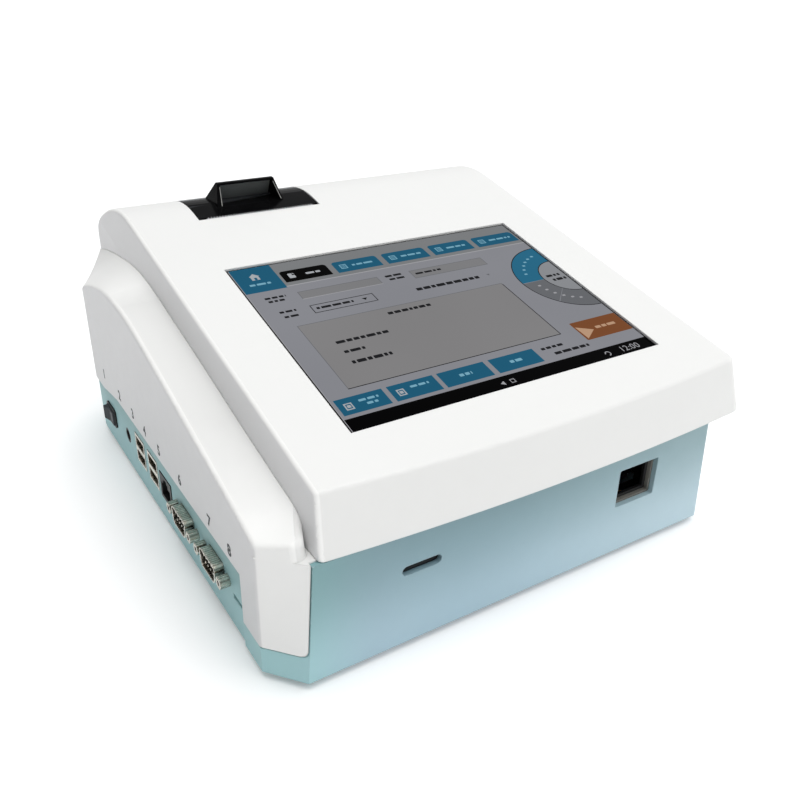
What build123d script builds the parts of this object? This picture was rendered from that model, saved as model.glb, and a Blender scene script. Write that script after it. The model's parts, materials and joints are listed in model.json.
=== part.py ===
from build123d import *
import os
from math import sin, cos, tan, radians, degrees, sqrt, asin, atan2, pi

os.makedirs("parts", exist_ok=True)

# ---------------------------------------------------------------- dimensions
# All in millimetres.  +Z up, front faces -Y, +X to the right seen from the
# front.  Origin: middle of the footprint, on the table.

# screen, which sets the slope of the top
TILT = 12.9                       # slope of the top face above horizontal
SCR_X, SCR_Y, SCR_Z = 7.8, -37.6, 98.5    # middle of the screen window
WIN_W, WIN_H = 162.0, 121.5       # visible window, 4:3
WIN_STEP = 1.2                    # glass lies this far below the cover
GLASS_W, GLASS_H, GLASS_T = 167.0, 126.5, 1.8
LCD_W, LCD_H, LCD_T = 174.0, 134.0, 5.5

# top cover
COV_L, COV_R = -102.6, 120.6      # side walls at the lower rim
COV_FLARE = 8.0                   # outward lean of the side walls, degrees
COV_BOW_Y, COV_END_Y = -131.0, -126.0     # front lip: middle and right end
COV_END_L = -126.8                # front lip, left end
COV_RIM_Z = 56.5                  # lower edge of the cover
COV_T = 2.5                       # wall
COV_REAR = 131.0
FRONT_LEAN = (8.0, 22.6)          # front face leans back 8 in 22.6
ARCH_R = 61.0                     # rear of the top: first arc
ARCH_Y0 = 75.6                    # slope ends, arc starts
ARCH_END = 38.0                   # angle where the small rear arc takes over
REAR_R = 10.7
COV_CORNER_L, COV_CORNER_R = 2.7, 9.0    # front corners, left and right
COV_FILLET = 2.4

# base shell
BASE_Z0 = 2.5                     # underside, above the table
BASE_T = 2.5
BASE_TOP = 56.4
SIDE_X = -120.3                   # left side
PANEL_X = -119.0                  # recessed socket panel
FRONT_Y = -126.6
REAR_Y = 130.5
LEG_Y = -96.8                     # rear edge of the side cover's leg
LEG_Z = 15.9                      # lower edge of the leg
PORT_TOP = 38.8                   # lower edge of the side cover over the sockets
GAP = 0.5                         # shadow gap round the leg

# side cover
WING_T = 2.0                      # wall
WING_RIGHT = -101.0               # right face, trimmed by the top cover
WING_JOIN = 56.4                  # the leg carries on below this height
ROLL_SIDE = 2.4                   # rounding of the top into the side
LEG_GAP = 0.45                    # between the leg and the base beside it

# sockets, centres along Y and their height
PORT_Z = 23.6
SWITCH_Y, DC_Y, USB1_Y, USB2_Y, LAN_Y, COM1_Y, COM2_Y, SIDE_SLOT_Y = \
    84.0, 55.0, 33.0, 13.5, -5.0, -33.4, -67.3, -89.9
SIDE_SLOT_Z = 19.0
SW_Z = 19.8                       # height of the rocker switch
DS_W, DS_W2, DS_H = 8.9, 7.3, 4.5 # half sizes of the D shaped shells

# front openings
CARD_X, CARD_Z, CARD_W, CARD_H = -59.6, 38.65, 17.8, 4.3
CAS_X, CAS_Z, CAS_W, CAS_H = 53.6, 37.8, 23.2, 19.0

# printer
DOOR_X0, DOOR_X1 = -66.5, -0.3
DOOR_Y0 = 69.4                    # front edge of the door
OPEN_X0, OPEN_X1, OPEN_Y0, OPEN_Y1 = -66.9, 0.1, 68.0, 117.3
DOOR_T = 1.8
CREASE_Y = 86.0
HINGE_Y, HINGE_Z, HINGE_R = 111.8, 116.25, 4.9
PLATEN_Y, PLATEN_Z, PLATEN_R = 76.6, 115.6, 5.0
ROLL_Y, ROLL_Z, ROLL_R = 98.8, 91.0, 16.0
GEAR_M = 0.5
T_PLATEN, T_IDLER, T_PINION = 20, 30, 12
IDLER_Y, IDLER_Z = 82.6, 104.634
PINION_Y, PINION_Z = 74.8, 97.605
GEAR_X0, GEAR_X1 = -4.6, -1.8

# cassette scanner
ROD_R = 2.0
ROD_X = (37.5, 69.7)
ROD_Z = 31.0
SCREW_R = 2.5
SCREW_Z = 24.2
CAR_Y0, CAR_Y1 = -111.0, -49.0    # carriage at rest, loading position
CAR_TRAVEL = 70.0
OPT_Y = -5.0                      # optical axis

TAN = tan(radians(TILT))
S12, C12 = sin(radians(TILT)), cos(radians(TILT))


def slope_z(y):
    return SCR_Z + (y - SCR_Y) * TAN


def top_z(y):
    """Height of the cover's top along the middle."""
    if y <= ARCH_Y0:
        return slope_z(y)
    yc = ARCH_Y0 + ARCH_R * S12
    zc = slope_z(ARCH_Y0) - ARCH_R * C12
    return zc + sqrt(ARCH_R ** 2 - (y - yc) ** 2)


ARCH_YC = ARCH_Y0 + ARCH_R * S12
ARCH_ZC = slope_z(ARCH_Y0) - ARCH_R * C12

screen_plane = Plane(origin=(SCR_X, SCR_Y, SCR_Z), x_dir=(1, 0, 0),
                     z_dir=(0, -S12, C12))


def bx(z):
    """Front left corner of the base leans in a little towards the top."""
    return -108.3 + (z - 2.5) * 3.2 / 55.5


def cx(z):
    return 100.3 - (z - 2.5) * 4.6 / 55.5


def outline(z, tl=0.0, t=0.0):
    """Plan outline at height z.  The left side and its two corner faces are
    inset by tl, the other sides by t."""
    return [
        (SIDE_X + tl, -112.0 + 0.3635 * tl),
        (bx(z) + (tl - 0.641 * t) / 0.767, FRONT_Y + t),
        (cx(z) - 0.4775 * t, FRONT_Y + t), (119.0 - t, -103.5 + 0.3545 * t),
        (119.0 - t, 108.0 - 0.381 * t), (99.0 - 0.45 * t, REAR_Y - t),
        (-102.5 + (tl - 0.587 * t) / 0.8095, REAR_Y - t),
        (SIDE_X + tl, 104.5 - 0.3245 * tl),
    ]


def tower(z0, z1, fn):
    """Straight-sided body between the outlines fn(z0) and fn(z1)."""
    with BuildPart() as tw:
        for z in (z0, z1):
            with BuildSketch(Plane.XY.offset(z)):
                with BuildLine():
                    Polyline(*fn(z), close=True)
                make_face()
        loft(ruled=True)
    return tw.part


def block(x0, x1, y0, y1, z0, z1, mode=Mode.ADD):
    with Locations(((x0 + x1) / 2, (y0 + y1) / 2, (z0 + z1) / 2)):
        Box(x1 - x0, y1 - y0, z1 - z0, mode=mode)


def rod_x(x0, x1, y, z, r, mode=Mode.ADD):
    with Locations(Location(((x0 + x1) / 2, y, z), (0, 90, 0))):
        Cylinder(r, x1 - x0, mode=mode)


def rod_y(y0, y1, x, z, r, mode=Mode.ADD):
    with Locations(Location((x, (y0 + y1) / 2, z), (90, 0, 0))):
        Cylinder(r, y1 - y0, mode=mode)


def rod_z(z0, z1, x, y, r, mode=Mode.ADD):
    with Locations((x, y, (z0 + z1) / 2)):
        Cylinder(r, z1 - z0, mode=mode)


def side_prism(x0, x1, pts, mode=Mode.ADD, r=0.0, pick=None):
    """Prism along X from a closed outline of (y, z) points."""
    with BuildSketch(Plane.YZ.offset(x0)) as sk:
        with BuildLine():
            Polyline(*pts, close=True)
        make_face()
        if r and pick:
            fillet([v for v in sk.vertices() if pick(v)], r)
    extrude(sk.sketch, amount=x1 - x0, mode=mode)


def finish(piece, name):
    piece.part.label = name
    export_step(piece.part, "parts/" + name + ".step")
    n = len(piece.part.solids())
    print(name, piece.part.is_valid, n, round(piece.part.volume))


def gear_pts(teeth, m, cy, cz, phase=0.0, width=0.25):
    """Simple trapezoid tooth outline, points in the YZ plane."""
    rp = teeth * m / 2
    ra, rf = rp + 0.9 * m, rp - 1.15 * m
    pts = []
    for i in range(teeth):
        a = 2 * pi * i / teeth + phase
        step = 2 * pi / teeth
        for f, r in ((-0.30, rf), (-0.13, ra), (0.13, ra), (0.30, rf)):
            pts.append((cy + r * cos(a + f * step), cz + r * sin(a + f * step)))
    return pts


# ------------------------------------------------------------------ top cover
REAR_END = ARCH_YC + (ARCH_R - REAR_R) * sin(radians(ARCH_END)) + REAR_R


def cover_profile(t):
    """Side profile of the cover, inset by t, in the YZ plane."""
    r1, r2 = ARCH_R - t, REAR_R - t
    ae, a0 = radians(ARCH_END), radians(TILT)
    am, an = (ae + a0) / 2, (ae + pi / 2) / 2
    p0 = (ARCH_YC - r1 * sin(a0), ARCH_ZC + r1 * cos(a0))
    p0 = (ARCH_YC - ARCH_R * sin(a0) + t * sin(a0), ARCH_ZC + r1 * cos(a0))
    pm = (ARCH_YC + r1 * sin((ae - a0) / 2), ARCH_ZC + r1 * cos((ae - a0) / 2))
    p1 = (ARCH_YC + r1 * sin(ae), ARCH_ZC + r1 * cos(ae))
    c2 = (ARCH_YC + (ARCH_R - REAR_R) * sin(ae), ARCH_ZC + (ARCH_R - REAR_R) * cos(ae))
    qm = (c2[0] + r2 * sin(an), c2[1] + r2 * cos(an))
    q1 = (c2[0] + r2, c2[1])
    fr = (-190.0, p0[1] + (-190.0 - p0[0]) * TAN)
    with BuildSketch(Plane.YZ.offset(-200)) as sk:
        with BuildLine():
            Line((-190.0, 20.0), fr)
            Line(fr, p0)
            ThreePointArc(p0, pm, p1)
            ThreePointArc(p1, qm, q1)
            Line(q1, (q1[0], 20.0))
            Line((q1[0], 20.0), (-190.0, 20.0))
        make_face()
    return sk.sketch


def cover_block(t, z_low):
    """Closed block with the cover's outer form, inset by t."""
    prof = cover_profile(t)
    xl, xr = COV_L + t, COV_R - t
    dz = z_low - COV_RIM_Z
    dy = dz * FRONT_LEAN[0] / FRONT_LEAN[1] + t * 1.05
    with BuildPart() as blk:
        with BuildSketch(Plane.XY.offset(z_low)) as plan:
            with BuildLine():
                ThreePointArc((xl, COV_END_L + dy), (7.0, COV_BOW_Y + dy), (xr, COV_END_Y + dy))
                Line((xr, COV_END_Y + dy), (xr, 250))
                Line((xr, 250), (xl, 250))
                Line((xl, 250), (xl, COV_END_L + dy))
            make_face()
            fillet([v for v in plan.vertices() if v.Y < 0 and v.X < 0], max(COV_CORNER_L - t, 0.5))
            fillet([v for v in plan.vertices() if v.Y < 0 and v.X > 50], COV_CORNER_R - t)
        extrude(amount=120, dir=(0, FRONT_LEAN[0], FRONT_LEAN[1]))
        with BuildSketch(Plane.XY.offset(z_low)):
            with BuildLine():
                Polyline((xl - 1, -250), (xr + 1, -250), (xr + 1, REAR_END - t),
                         (xl - 1, REAR_END - t), close=True)
            make_face()
        extrude(amount=200, mode=Mode.INTERSECT)
        extrude(prof, amount=400, mode=Mode.INTERSECT)
        for side in (-1, 1):
            x0 = (COV_L + 2.9 + t) if side < 0 else (COV_R - 2.9 - t)
            nx, s = side * cos(radians(COV_FLARE)), sin(radians(COV_FLARE))
            wall = Plane(origin=(x0, SCR_Y, SCR_Z), x_dir=(0, C12, S12),
                         z_dir=(nx, -S12 * s, C12 * s))
            split(bisect_by=wall, keep=Keep.BOTTOM)
    return blk.part


POSTS = [(-93.0, -111.0), (108.0, -97.0), (105.0, 106.0), (-88.0, 112.0)]
POST_Z = 58.0
cover_outer = cover_block(0.0, COV_RIM_Z)
cover_inner = cover_block(COV_T, COV_RIM_Z - 5)

with BuildPart() as top_cover:
    add(cover_outer)
    rim = [e for e in top_cover.edges()
           if e.center().Z > 70 and not (e.length < 30 and abs((e % 0.5).Z) > 0.8)]
    fillet(rim, COV_FILLET)
    lip = [e for e in top_cover.edges()
           if abs(e.center().Z - COV_RIM_Z) < 0.01 and e.center().Y < -100]
    try:
        fillet(lip, 0.6)
    except Exception as err:
        print("lip fillet left out", err)
    add(cover_inner, mode=Mode.SUBTRACT)
    # screen window with a step for the glass
    with BuildSketch(screen_plane.offset(3)):
        Rectangle(WIN_W, WIN_H)
    extrude(amount=-8, mode=Mode.SUBTRACT)
    with BuildSketch(screen_plane.offset(-WIN_STEP)):
        Rectangle(GLASS_W + 0.6, GLASS_H + 0.6)
    extrude(amount=-5, mode=Mode.SUBTRACT)
    # bosses that carry the display bracket
    with BuildSketch(screen_plane.offset(-COV_T + 0.3)):
        with GridLocations(184.0, 118.0, 2, 2):
            Circle(3.0)
    extrude(amount=-6.4)
    with BuildSketch(screen_plane.offset(-COV_T - 0.6)):
        with GridLocations(184.0, 118.0, 2, 2):
            Circle(1.25)
    extrude(amount=-20, mode=Mode.SUBTRACT)
    # printer opening with an inner rim
    side_prism(OPEN_X0 - 1.5, OPEN_X1 + 1.5, [
        (OPEN_Y0 - 1.5, 114.6), (OPEN_Y0 - 1.5, slope_z(OPEN_Y0 - 1.5) - 0.8),
        (ARCH_Y0, slope_z(ARCH_Y0) - 0.8), (89.3, 125.0), (103.0, 123.2),
        (OPEN_Y1 + 1.5, top_z(OPEN_Y1 + 1.5) - 1.2), (OPEN_Y1 + 1.5, 114.6)])
    block(OPEN_X0, OPEN_X1, OPEN_Y0, OPEN_Y1, 112, 142, Mode.SUBTRACT)
    # screw posts hang from the top
    for px, py in POSTS:
        rod_z(POST_Z, top_z(py) - 1.8, px, py, 4.0)
        rod_z(POST_Z - 1, POST_Z + 12, px, py, 1.3, Mode.SUBTRACT)
finish(top_cover, "top_cover")

# ----------------------------------------------------------------- base shell
base_outer = tower(BASE_Z0, BASE_TOP, lambda z: outline(z))
base_inner = tower(BASE_Z0 + BASE_T, BASE_TOP + 4, lambda z: outline(z, 4.5, BASE_T))


def zone(z, g=0.0):
    """Left part of the plan, ending at the gap beside the front leg."""
    edge = bx(z)
    return [(-130, -135), (edge - g, -135), (edge - g, -121.5), (-102.75, -114.5),
            (-102.75, -95.0), (-101.5, -90.0), (-101.5, 136), (-130, 136)]


LEG_CUT = [(-140, 15.4), (-96.3, 15.4), (-96.3, 38.2), (62, 38.2), (88, 33.9),
           (140, 33.9), (140, 70), (-140, 70)]
pocket_core = tower(4, 75, lambda z: outline(z, 2.1, 0.0))
pocket_zone = tower(4, 58, lambda z: zone(z))
with BuildPart() as pocket:
    add(pocket_zone)
    add(pocket_core, mode=Mode.SUBTRACT)
    with BuildSketch(Plane.YZ.offset(-140)):
        with BuildLine():
            Polyline(*LEG_CUT, close=True)
        make_face()
    extrude(amount=60, mode=Mode.INTERSECT)
    foot_edge = [e for e in pocket.edges() if abs(e.center().Z - 15.4) < 0.05
                 and e.center().X > -109.5 and abs((e % 0.5).Y) > 0.9 and e.center().Y < -118]
    if foot_edge:
        try:
            fillet(foot_edge, 3.0)
        except Exception as err:
            print("pocket corner fillet left out", err)

SOCKET_Z0 = 15.2                  # top of the socket board
with BuildPart() as base_shell:
    add(base_outer)
    under = [e for e in base_shell.edges() if abs(e.center().Z - BASE_Z0) < 0.01]
    chamfer(under, 1.1)
    corners = [e for e in base_shell.edges()
               if e.length > 40 and abs((e % 0.5).Z) > 0.9 and e.center().X > 0]
    print("base corners", len(corners))
    try:
        fillet(corners, 3.0)
    except Exception as err:
        print("base corner fillet left out", err)
    block(-125, PANEL_X, LEG_Y + 0.5, 120, -1, 60, Mode.SUBTRACT)
    add(pocket.part, mode=Mode.SUBTRACT)
    add(base_inner, mode=Mode.SUBTRACT)
    # card slot
    with BuildSketch(Plane.XZ.offset(-FRONT_Y + 2)):
        with Locations((CARD_X, CARD_Z)):
            SlotOverall(CARD_W, CARD_H)
    extrude(amount=-8, mode=Mode.SUBTRACT)
    # cassette port
    with BuildSketch(Plane.XZ.offset(-FRONT_Y + 2)):
        with Locations((CAS_X, CAS_Z)):
            RectangleRounded(CAS_W, CAS_H, 0.9)
    extrude(amount=-12, mode=Mode.SUBTRACT)
    # socket openings, rear to front
    block(-125, -112, SWITCH_Y - 7.4, SWITCH_Y + 7.4, SW_Z - 4.8, SW_Z + 4.8, Mode.SUBTRACT)
    rod_x(-125, -112, DC_Y, 21.3, 4.1, Mode.SUBTRACT)
    for y in (USB1_Y, USB2_Y):
        block(-125, -112, y - 7.2, y + 7.2, 15.0, 31.1, Mode.SUBTRACT)
    block(-125, -112, LAN_Y - 8.1, LAN_Y + 8.1, 15.0, 29.0, Mode.SUBTRACT)
    for y in (COM1_Y, COM2_Y):
        side_prism(-125, -112, [(y - DS_W - 0.25, PORT_Z + DS_H + 0.25), (y + DS_W + 0.25, PORT_Z + DS_H + 0.25),
                                (y + DS_W2 + 0.25, PORT_Z - DS_H - 0.25), (y - DS_W2 - 0.25, PORT_Z - DS_H - 0.25)],
                   Mode.SUBTRACT, r=2.7, pick=lambda v: True)
        for d in (-12.495, 12.495):
            rod_x(-125, -112, y + d, PORT_Z, 1.7, Mode.SUBTRACT)
    block(-125, -112, SIDE_SLOT_Y - 5.9, SIDE_SLOT_Y + 5.9, 17.95, 20.05, Mode.SUBTRACT)
    # tube posts for the case screws, counterbored from below
    for px, py in POSTS:
        rod_z(4, POST_Z - 0.1, px, py, 4.5)
        rod_z(2, 46.0, px, py, 3.2, Mode.SUBTRACT)
        rod_z(40, 62, px, py, 1.7, Mode.SUBTRACT)
    # bosses under the socket board and sockets for the feet
    for y in (-99.0, -48.5, 4.0, 62.0):
        rod_z(4.5, 13.6, -101.0, y, 2.5)
    for px, py in ((-96, -92), (98, -112), (98, 92), (-96, 92)):
        rod_z(2.0, 3.6, px, py, 5.05, Mode.SUBTRACT)
    # rear air slots
    for i in range(11):
        x = -30 + 6.0 * i
        block(x - 1.1, x + 1.1, 125, 135, 22, 40, Mode.SUBTRACT)
    # bosses for the scanner chassis
    for px in (36.0, 72.0):
        for py in (-104.0, 60.0):
            rod_z(4.5, 8.0, px, py, 4.0)
finish(base_shell, "base_shell")

# ----------------------------------------------------------------- side cover
# Height of the top along its right and left edges, (y, z).
INNER = [(-135, 65.9), (-122.0, 66.2), (-112.8, 66.9), (-102.6, 69.0), (-56.9, 79.4),
         (-24.2, 87.3), (5.9, 94.2), (15.7, 96.4), (29.9, 99.7), (42.7, 102.3), (52.0, 103.8),
         (62.0, 104.8), (72.9, 105.1), (90.8, 103.7), (110.4, 101.0), (138, 93.6)]
OUTER = [(-135, 60.6), (-118.0, 60.9), (-111.5, 61.7), (-98.2, 65.7), (-51.1, 78.3),
         (-21.4, 86.2), (-4.9, 90.5), (7.6, 93.5), (19.6, 96.1), (28.0, 97.3), (36.4, 98.0),
         (47.3, 98.3), (62.4, 97.2), (80, 93.8), (97.1, 88.7), (106, 84.8), (138, 67.0)]


def smooth(tab, y):
    """Smooth curve through a table of (y, z)."""
    n = len(tab)
    d = [(tab[i + 1][1] - tab[i][1]) / (tab[i + 1][0] - tab[i][0]) for i in range(n - 1)]
    m = [d[0]] + [0.0 if d[i - 1] * d[i] <= 0 else 2 * d[i - 1] * d[i] / (d[i - 1] + d[i])
                  for i in range(1, n - 1)] + [d[-1]]
    for i in range(n - 1):
        if tab[i][0] <= y <= tab[i + 1][0]:
            h = tab[i + 1][0] - tab[i][0]
            t = (y - tab[i][0]) / h
            return ((2 * t ** 3 - 3 * t ** 2 + 1) * tab[i][1] + (t ** 3 - 2 * t ** 2 + t) * h * m[i]
                    + (3 * t ** 2 - 2 * t ** 3) * tab[i + 1][1] + (t ** 3 - t ** 2) * h * m[i + 1])
    raise ValueError(y)


def wing_top(drop):
    """Body under the side cover's top: curved along Y, straight along X."""
    faces = []
    for x in (-124.0, -94.0):
        k = (x + 120.5) / 17.5
        pts = []
        for i in range(46):
            y = -134.0 + i * 6.0
            pts.append((y, (1 - k) * smooth(OUTER, y) + k * smooth(INNER, y) - drop))
        with BuildSketch(Plane.YZ.offset(x)) as sk:
            with BuildLine():
                Spline(*pts)
                Line(pts[-1], (pts[-1][0], 5.0))
                Line((pts[-1][0], 5.0), (pts[0][0], 5.0))
                Line((pts[0][0], 5.0), pts[0])
            make_face()
        faces.append(sk.sketch.faces()[0])
    with BuildPart() as wt:
        loft(faces, ruled=True)
    return wt.part


def on_line(a, b, x):
    return (x, a[1] + (b[1] - a[1]) * (x - a[0]) / (b[0] - a[0]))


def upper_plan(z):
    """Plan of the side cover where it stands beside the top cover."""
    o = outline(z, -0.2, -0.5)
    return [o[0], on_line(o[0], o[1], -106.2 - (z - WING_JOIN) * 0.12), (WING_RIGHT, -110.5),
            (WING_RIGHT, REAR_Y + 0.5), o[6], o[7]]


def hollow_plan(z):
    """Inside of the upper part, one wall thickness in from the slanted corner."""
    o = outline(z, WING_T - 0.2, -3.0)
    p = upper_plan(z)[1]
    dx, dy = WING_RIGHT - p[0], -110.5 - p[1]
    k = WING_T / (dx * dx + dy * dy) ** 0.5
    q = (p[0] - dy * k, p[1] + dx * k)
    return [o[0], on_line(o[0], o[1], q[0] - 0.3), (WING_RIGHT - dy * k, -110.5 + dx * k), (-98.0, -104.0),
            (-98.0, REAR_Y + 3.0), o[6], o[7]]


def lower_plan(z):
    """Plan of the leg and the skirt, ending at the gap beside the base."""
    o = outline(z, -0.2, -0.5)
    e = bx(z) - LEG_GAP
    return [o[0], on_line(o[0], o[1], e), (e, -121.5), (-102.75 - 0.1, -114.5),
            (-102.75 - 0.1, -95.0), (-101.5, -90.0), (-101.5, REAR_Y + 0.5), o[6], o[7]]


def collar_plan(z):
    """Thin web on top of the leg that closes the corner beside the top cover."""
    o = outline(z, -0.2, -0.5)
    e = bx(WING_JOIN) - LEG_GAP
    return [o[0], on_line(o[0], o[1], e), (e, -124.5), (-102.0, -124.5), (-102.0, -100.0),
            (-108.0, -100.0), (o[0][0], -100.0)]


def upright(part, x, y, slack=2.5):
    """Upright edges of a part near the point (x, y)."""
    return [e for e in part.edges() if abs((e % 0.5).Z) > 0.9 and e.length > 10
            and abs(e.center().X - x) < slack and abs(e.center().Y - y) < slack]


wing_hull = wing_top(0.0)
wing_core = wing_top(WING_T + 0.1)
wing_upper = tower(WING_JOIN, 120, upper_plan)
wing_lower = tower(LEG_Z, WING_JOIN, lower_plan)
wing_collar = tower(WING_JOIN, WING_JOIN + 0.7, collar_plan)
wing_low_in = tower(4, WING_JOIN, lambda z: outline(z, WING_T - 0.2, -3.0))
wing_high_in = tower(WING_JOIN, 122, hollow_plan)
cover_near = cover_block(-0.08, COV_RIM_Z - 0.08)

with BuildPart() as wing_cavity:
    add(wing_low_in)
    add(wing_high_in)
    add(wing_core, mode=Mode.INTERSECT)

with BuildPart() as wing_head:
    add(wing_upper)
    corner = upper_plan(88)[1]
    fillet(upright(wing_head, *corner), 4.0)
    nose = outline(88, -0.2, -0.5)[0]
    fillet(upright(wing_head, *nose), 3.0)
    tail = outline(88, -0.2, -0.5)[7]
    fillet(upright(wing_head, *tail), 4.0)
    add(wing_hull, mode=Mode.INTERSECT)
    crest = [e for e in wing_head.edges() if e.center().Z > WING_JOIN + 1
             and abs((e % 0.5).Z) < 0.75 and e.center().X < -102.0 and e.center().Y < 129]
    print("side cover crest", [(round(e.center().X), round(e.center().Y), round(e.length)) for e in crest])
    try:
        fillet(crest, ROLL_SIDE)
    except Exception as err:
        print("crest fillet left out", err)

with BuildPart() as wing_skirt:
    add(wing_lower)
    nose = outline(36, -0.2, -0.5)[0]
    fillet(upright(wing_skirt, *nose), 3.0)
    tail = outline(36, -0.2, -0.5)[7]
    fillet(upright(wing_skirt, *tail), 4.0)
    # rounded lower right corner of the leg, seen from the front
    toe_x = bx(LEG_Z) - LEG_GAP
    with BuildSketch(Plane.XZ.offset(121.2)) as toe:
        with Locations((toe_x - 0.7, LEG_Z + 0.7)):
            Rectangle(3.6, 3.6)
        with Locations((toe_x - 2.5, LEG_Z + 2.5)):
            Circle(2.5, mode=Mode.SUBTRACT)
    extrude(toe.sketch, amount=12, mode=Mode.SUBTRACT)

with BuildPart() as wing_cover:
    add(wing_head.part)
    add(wing_skirt.part)
    add(wing_cavity.part, mode=Mode.SUBTRACT)
    add(wing_collar)
    # strip that follows the socket panel and the leg
    with BuildSketch(Plane.YZ.offset(-135)) as low:
        with BuildLine():
            Polyline((-140, 0), (-140, LEG_Z), (LEG_Y, LEG_Z), (LEG_Y, PORT_TOP), (62, PORT_TOP),
                     (88, 34.5), (140, 34.5), (140, 0), close=True)
        make_face()
        fillet([v for v in low.vertices() if abs(v.Y - LEG_Y) < 0.01 and v.Z > 10], 2.6)
    extrude(amount=60, mode=Mode.SUBTRACT)
    add(cover_near, mode=Mode.SUBTRACT)
finish(wing_cover, "wing_cover")

# --------------------------------------------------------- feet, case screws
with BuildPart() as rubber_feet:
    for px, py in ((-96, -92), (98, -112), (98, 92), (-96, 92)):
        rod_z(0.0, BASE_Z0, px, py, 6.5)
        rod_z(BASE_Z0, 3.6, px, py, 5.0)
finish(rubber_feet, "rubber_feet")

with BuildPart() as case_screws:
    for px, py in POSTS:
        rod_z(43.6, 46.0, px, py, 3.0)
        rod_z(46.0, POST_Z + 10, px, py, 1.25)
        with BuildSketch(Plane.XY.offset(43.0)) as hexs:
            with Locations((px, py)):
                RegularPolygon(1.4, 6)
        extrude(hexs.sketch, amount=2.0, mode=Mode.SUBTRACT)
finish(case_screws, "case_screws")

# ------------------------------------------------------------ display stack
with BuildPart() as touch_glass:
    with BuildSketch(screen_plane.offset(-WIN_STEP)):
        RectangleRounded(GLASS_W, GLASS_H, 2.0)
    extrude(amount=-GLASS_T)
finish(touch_glass, "touch_glass")

LCD_TOP = -(WIN_STEP + GLASS_T)
with BuildPart() as lcd_panel:
    with BuildSketch(screen_plane.offset(LCD_TOP)):
        Rectangle(LCD_W, LCD_H)
    extrude(amount=-LCD_T)
finish(lcd_panel, "lcd_panel")

LCD_BOT = LCD_TOP - LCD_T
with BuildPart() as lcd_bracket:
    with BuildSketch(screen_plane.offset(LCD_BOT - 0.1)):
        RectangleRounded(191.0, 128.0, 3.0)
        Rectangle(130.0, 84.0, mode=Mode.SUBTRACT)
        with GridLocations(184.0, 118.0, 2, 2):
            Circle(1.4, mode=Mode.SUBTRACT)
    extrude(amount=-1.2)
finish(lcd_bracket, "lcd_bracket")

with BuildPart() as bracket_screws:
    with BuildSketch(screen_plane.offset(LCD_BOT - 1.3)):
        with GridLocations(184.0, 118.0, 2, 2):
            Circle(2.4)
    extrude(amount=-1.7)
    with BuildSketch(screen_plane.offset(LCD_BOT - 1.3)):
        with GridLocations(184.0, 118.0, 2, 2):
            Circle(1.2)
    extrude(amount=6.0)
    with BuildSketch(screen_plane.offset(LCD_BOT - 3.0)):
        with GridLocations(184.0, 118.0, 2, 2):
            Rectangle(2.6, 0.6)
            Rectangle(0.6, 2.6)
    extrude(amount=0.9, mode=Mode.SUBTRACT)
finish(bracket_screws, "bracket_screws")

# ------------------------------------------------------------------- printer
BK_X0, BK_X1 = -66.6, 0.0         # bucket, outer
IN_X0, IN_X1 = -65.0, -7.0        # paper space
with BuildPart() as printer_bucket:
    block(BK_X0, BK_X1, 68.2, 116.9, 72.5, 113.6)
    block(-70.4, 3.8, 64.6, 119.0, 113.0, 114.5)
    block(IN_X0, IN_X1, 82.2, 115.3, 74.2, 130, Mode.SUBTRACT)
    block(IN_X0, IN_X1, 69.1, 81.0, 74.2, 130, Mode.SUBTRACT)
    block(IN_X0, IN_X1, 80.0, 84.0, 103.0, 130, Mode.SUBTRACT)
    block(-5.4, -1.2, 69.1, 93.0, 90.0, 130, Mode.SUBTRACT)
    # nothing of the walls stands above the rim except the hinge lugs
    block(BK_X0, BK_X1, 68.2, 116.9, 113.6, 130, Mode.SUBTRACT)
    block(-5.4, BK_X1, 93.0, 116.9, 74.2, 130, Mode.SUBTRACT)
    rod_x(BK_X0 - 1, BK_X1 + 1, HINGE_Y, HINGE_Z, 5.35, Mode.SUBTRACT)
    block(BK_X0 + 0.01, BK_X1, 105, 118, 110.6, 130, Mode.SUBTRACT)
    for x0, x1 in ((BK_X0, IN_X0), (IN_X1, -5.4)):
        block(x0, x1, 109.3, 113.4, 106.0, HINGE_Z)
        rod_x(x0, x1, HINGE_Y, HINGE_Z, 2.7)
        rod_x(x0 - 1, x1 + 1, HINGE_Y, HINGE_Z, 1.25, Mode.SUBTRACT)
    # motor seat, shaft hole and the axle of the middle gear
    rod_x(IN_X1 - 0.5, -5.0, PINION_Y, PINION_Z, 1.6, Mode.SUBTRACT)
    rod_x(-6.0, -1.6, IDLER_Y, IDLER_Z, 1.0)
finish(printer_bucket, "printer_bucket")

sk_tan = radians(21.75)
ty, tz = HINGE_Y + HINGE_R * sin(sk_tan), HINGE_Z + HINGE_R * cos(sk_tan)
SK_END = radians(26.0)
SK_MID = (radians(90.0) - sk_tan + SK_END) / 2


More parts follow.
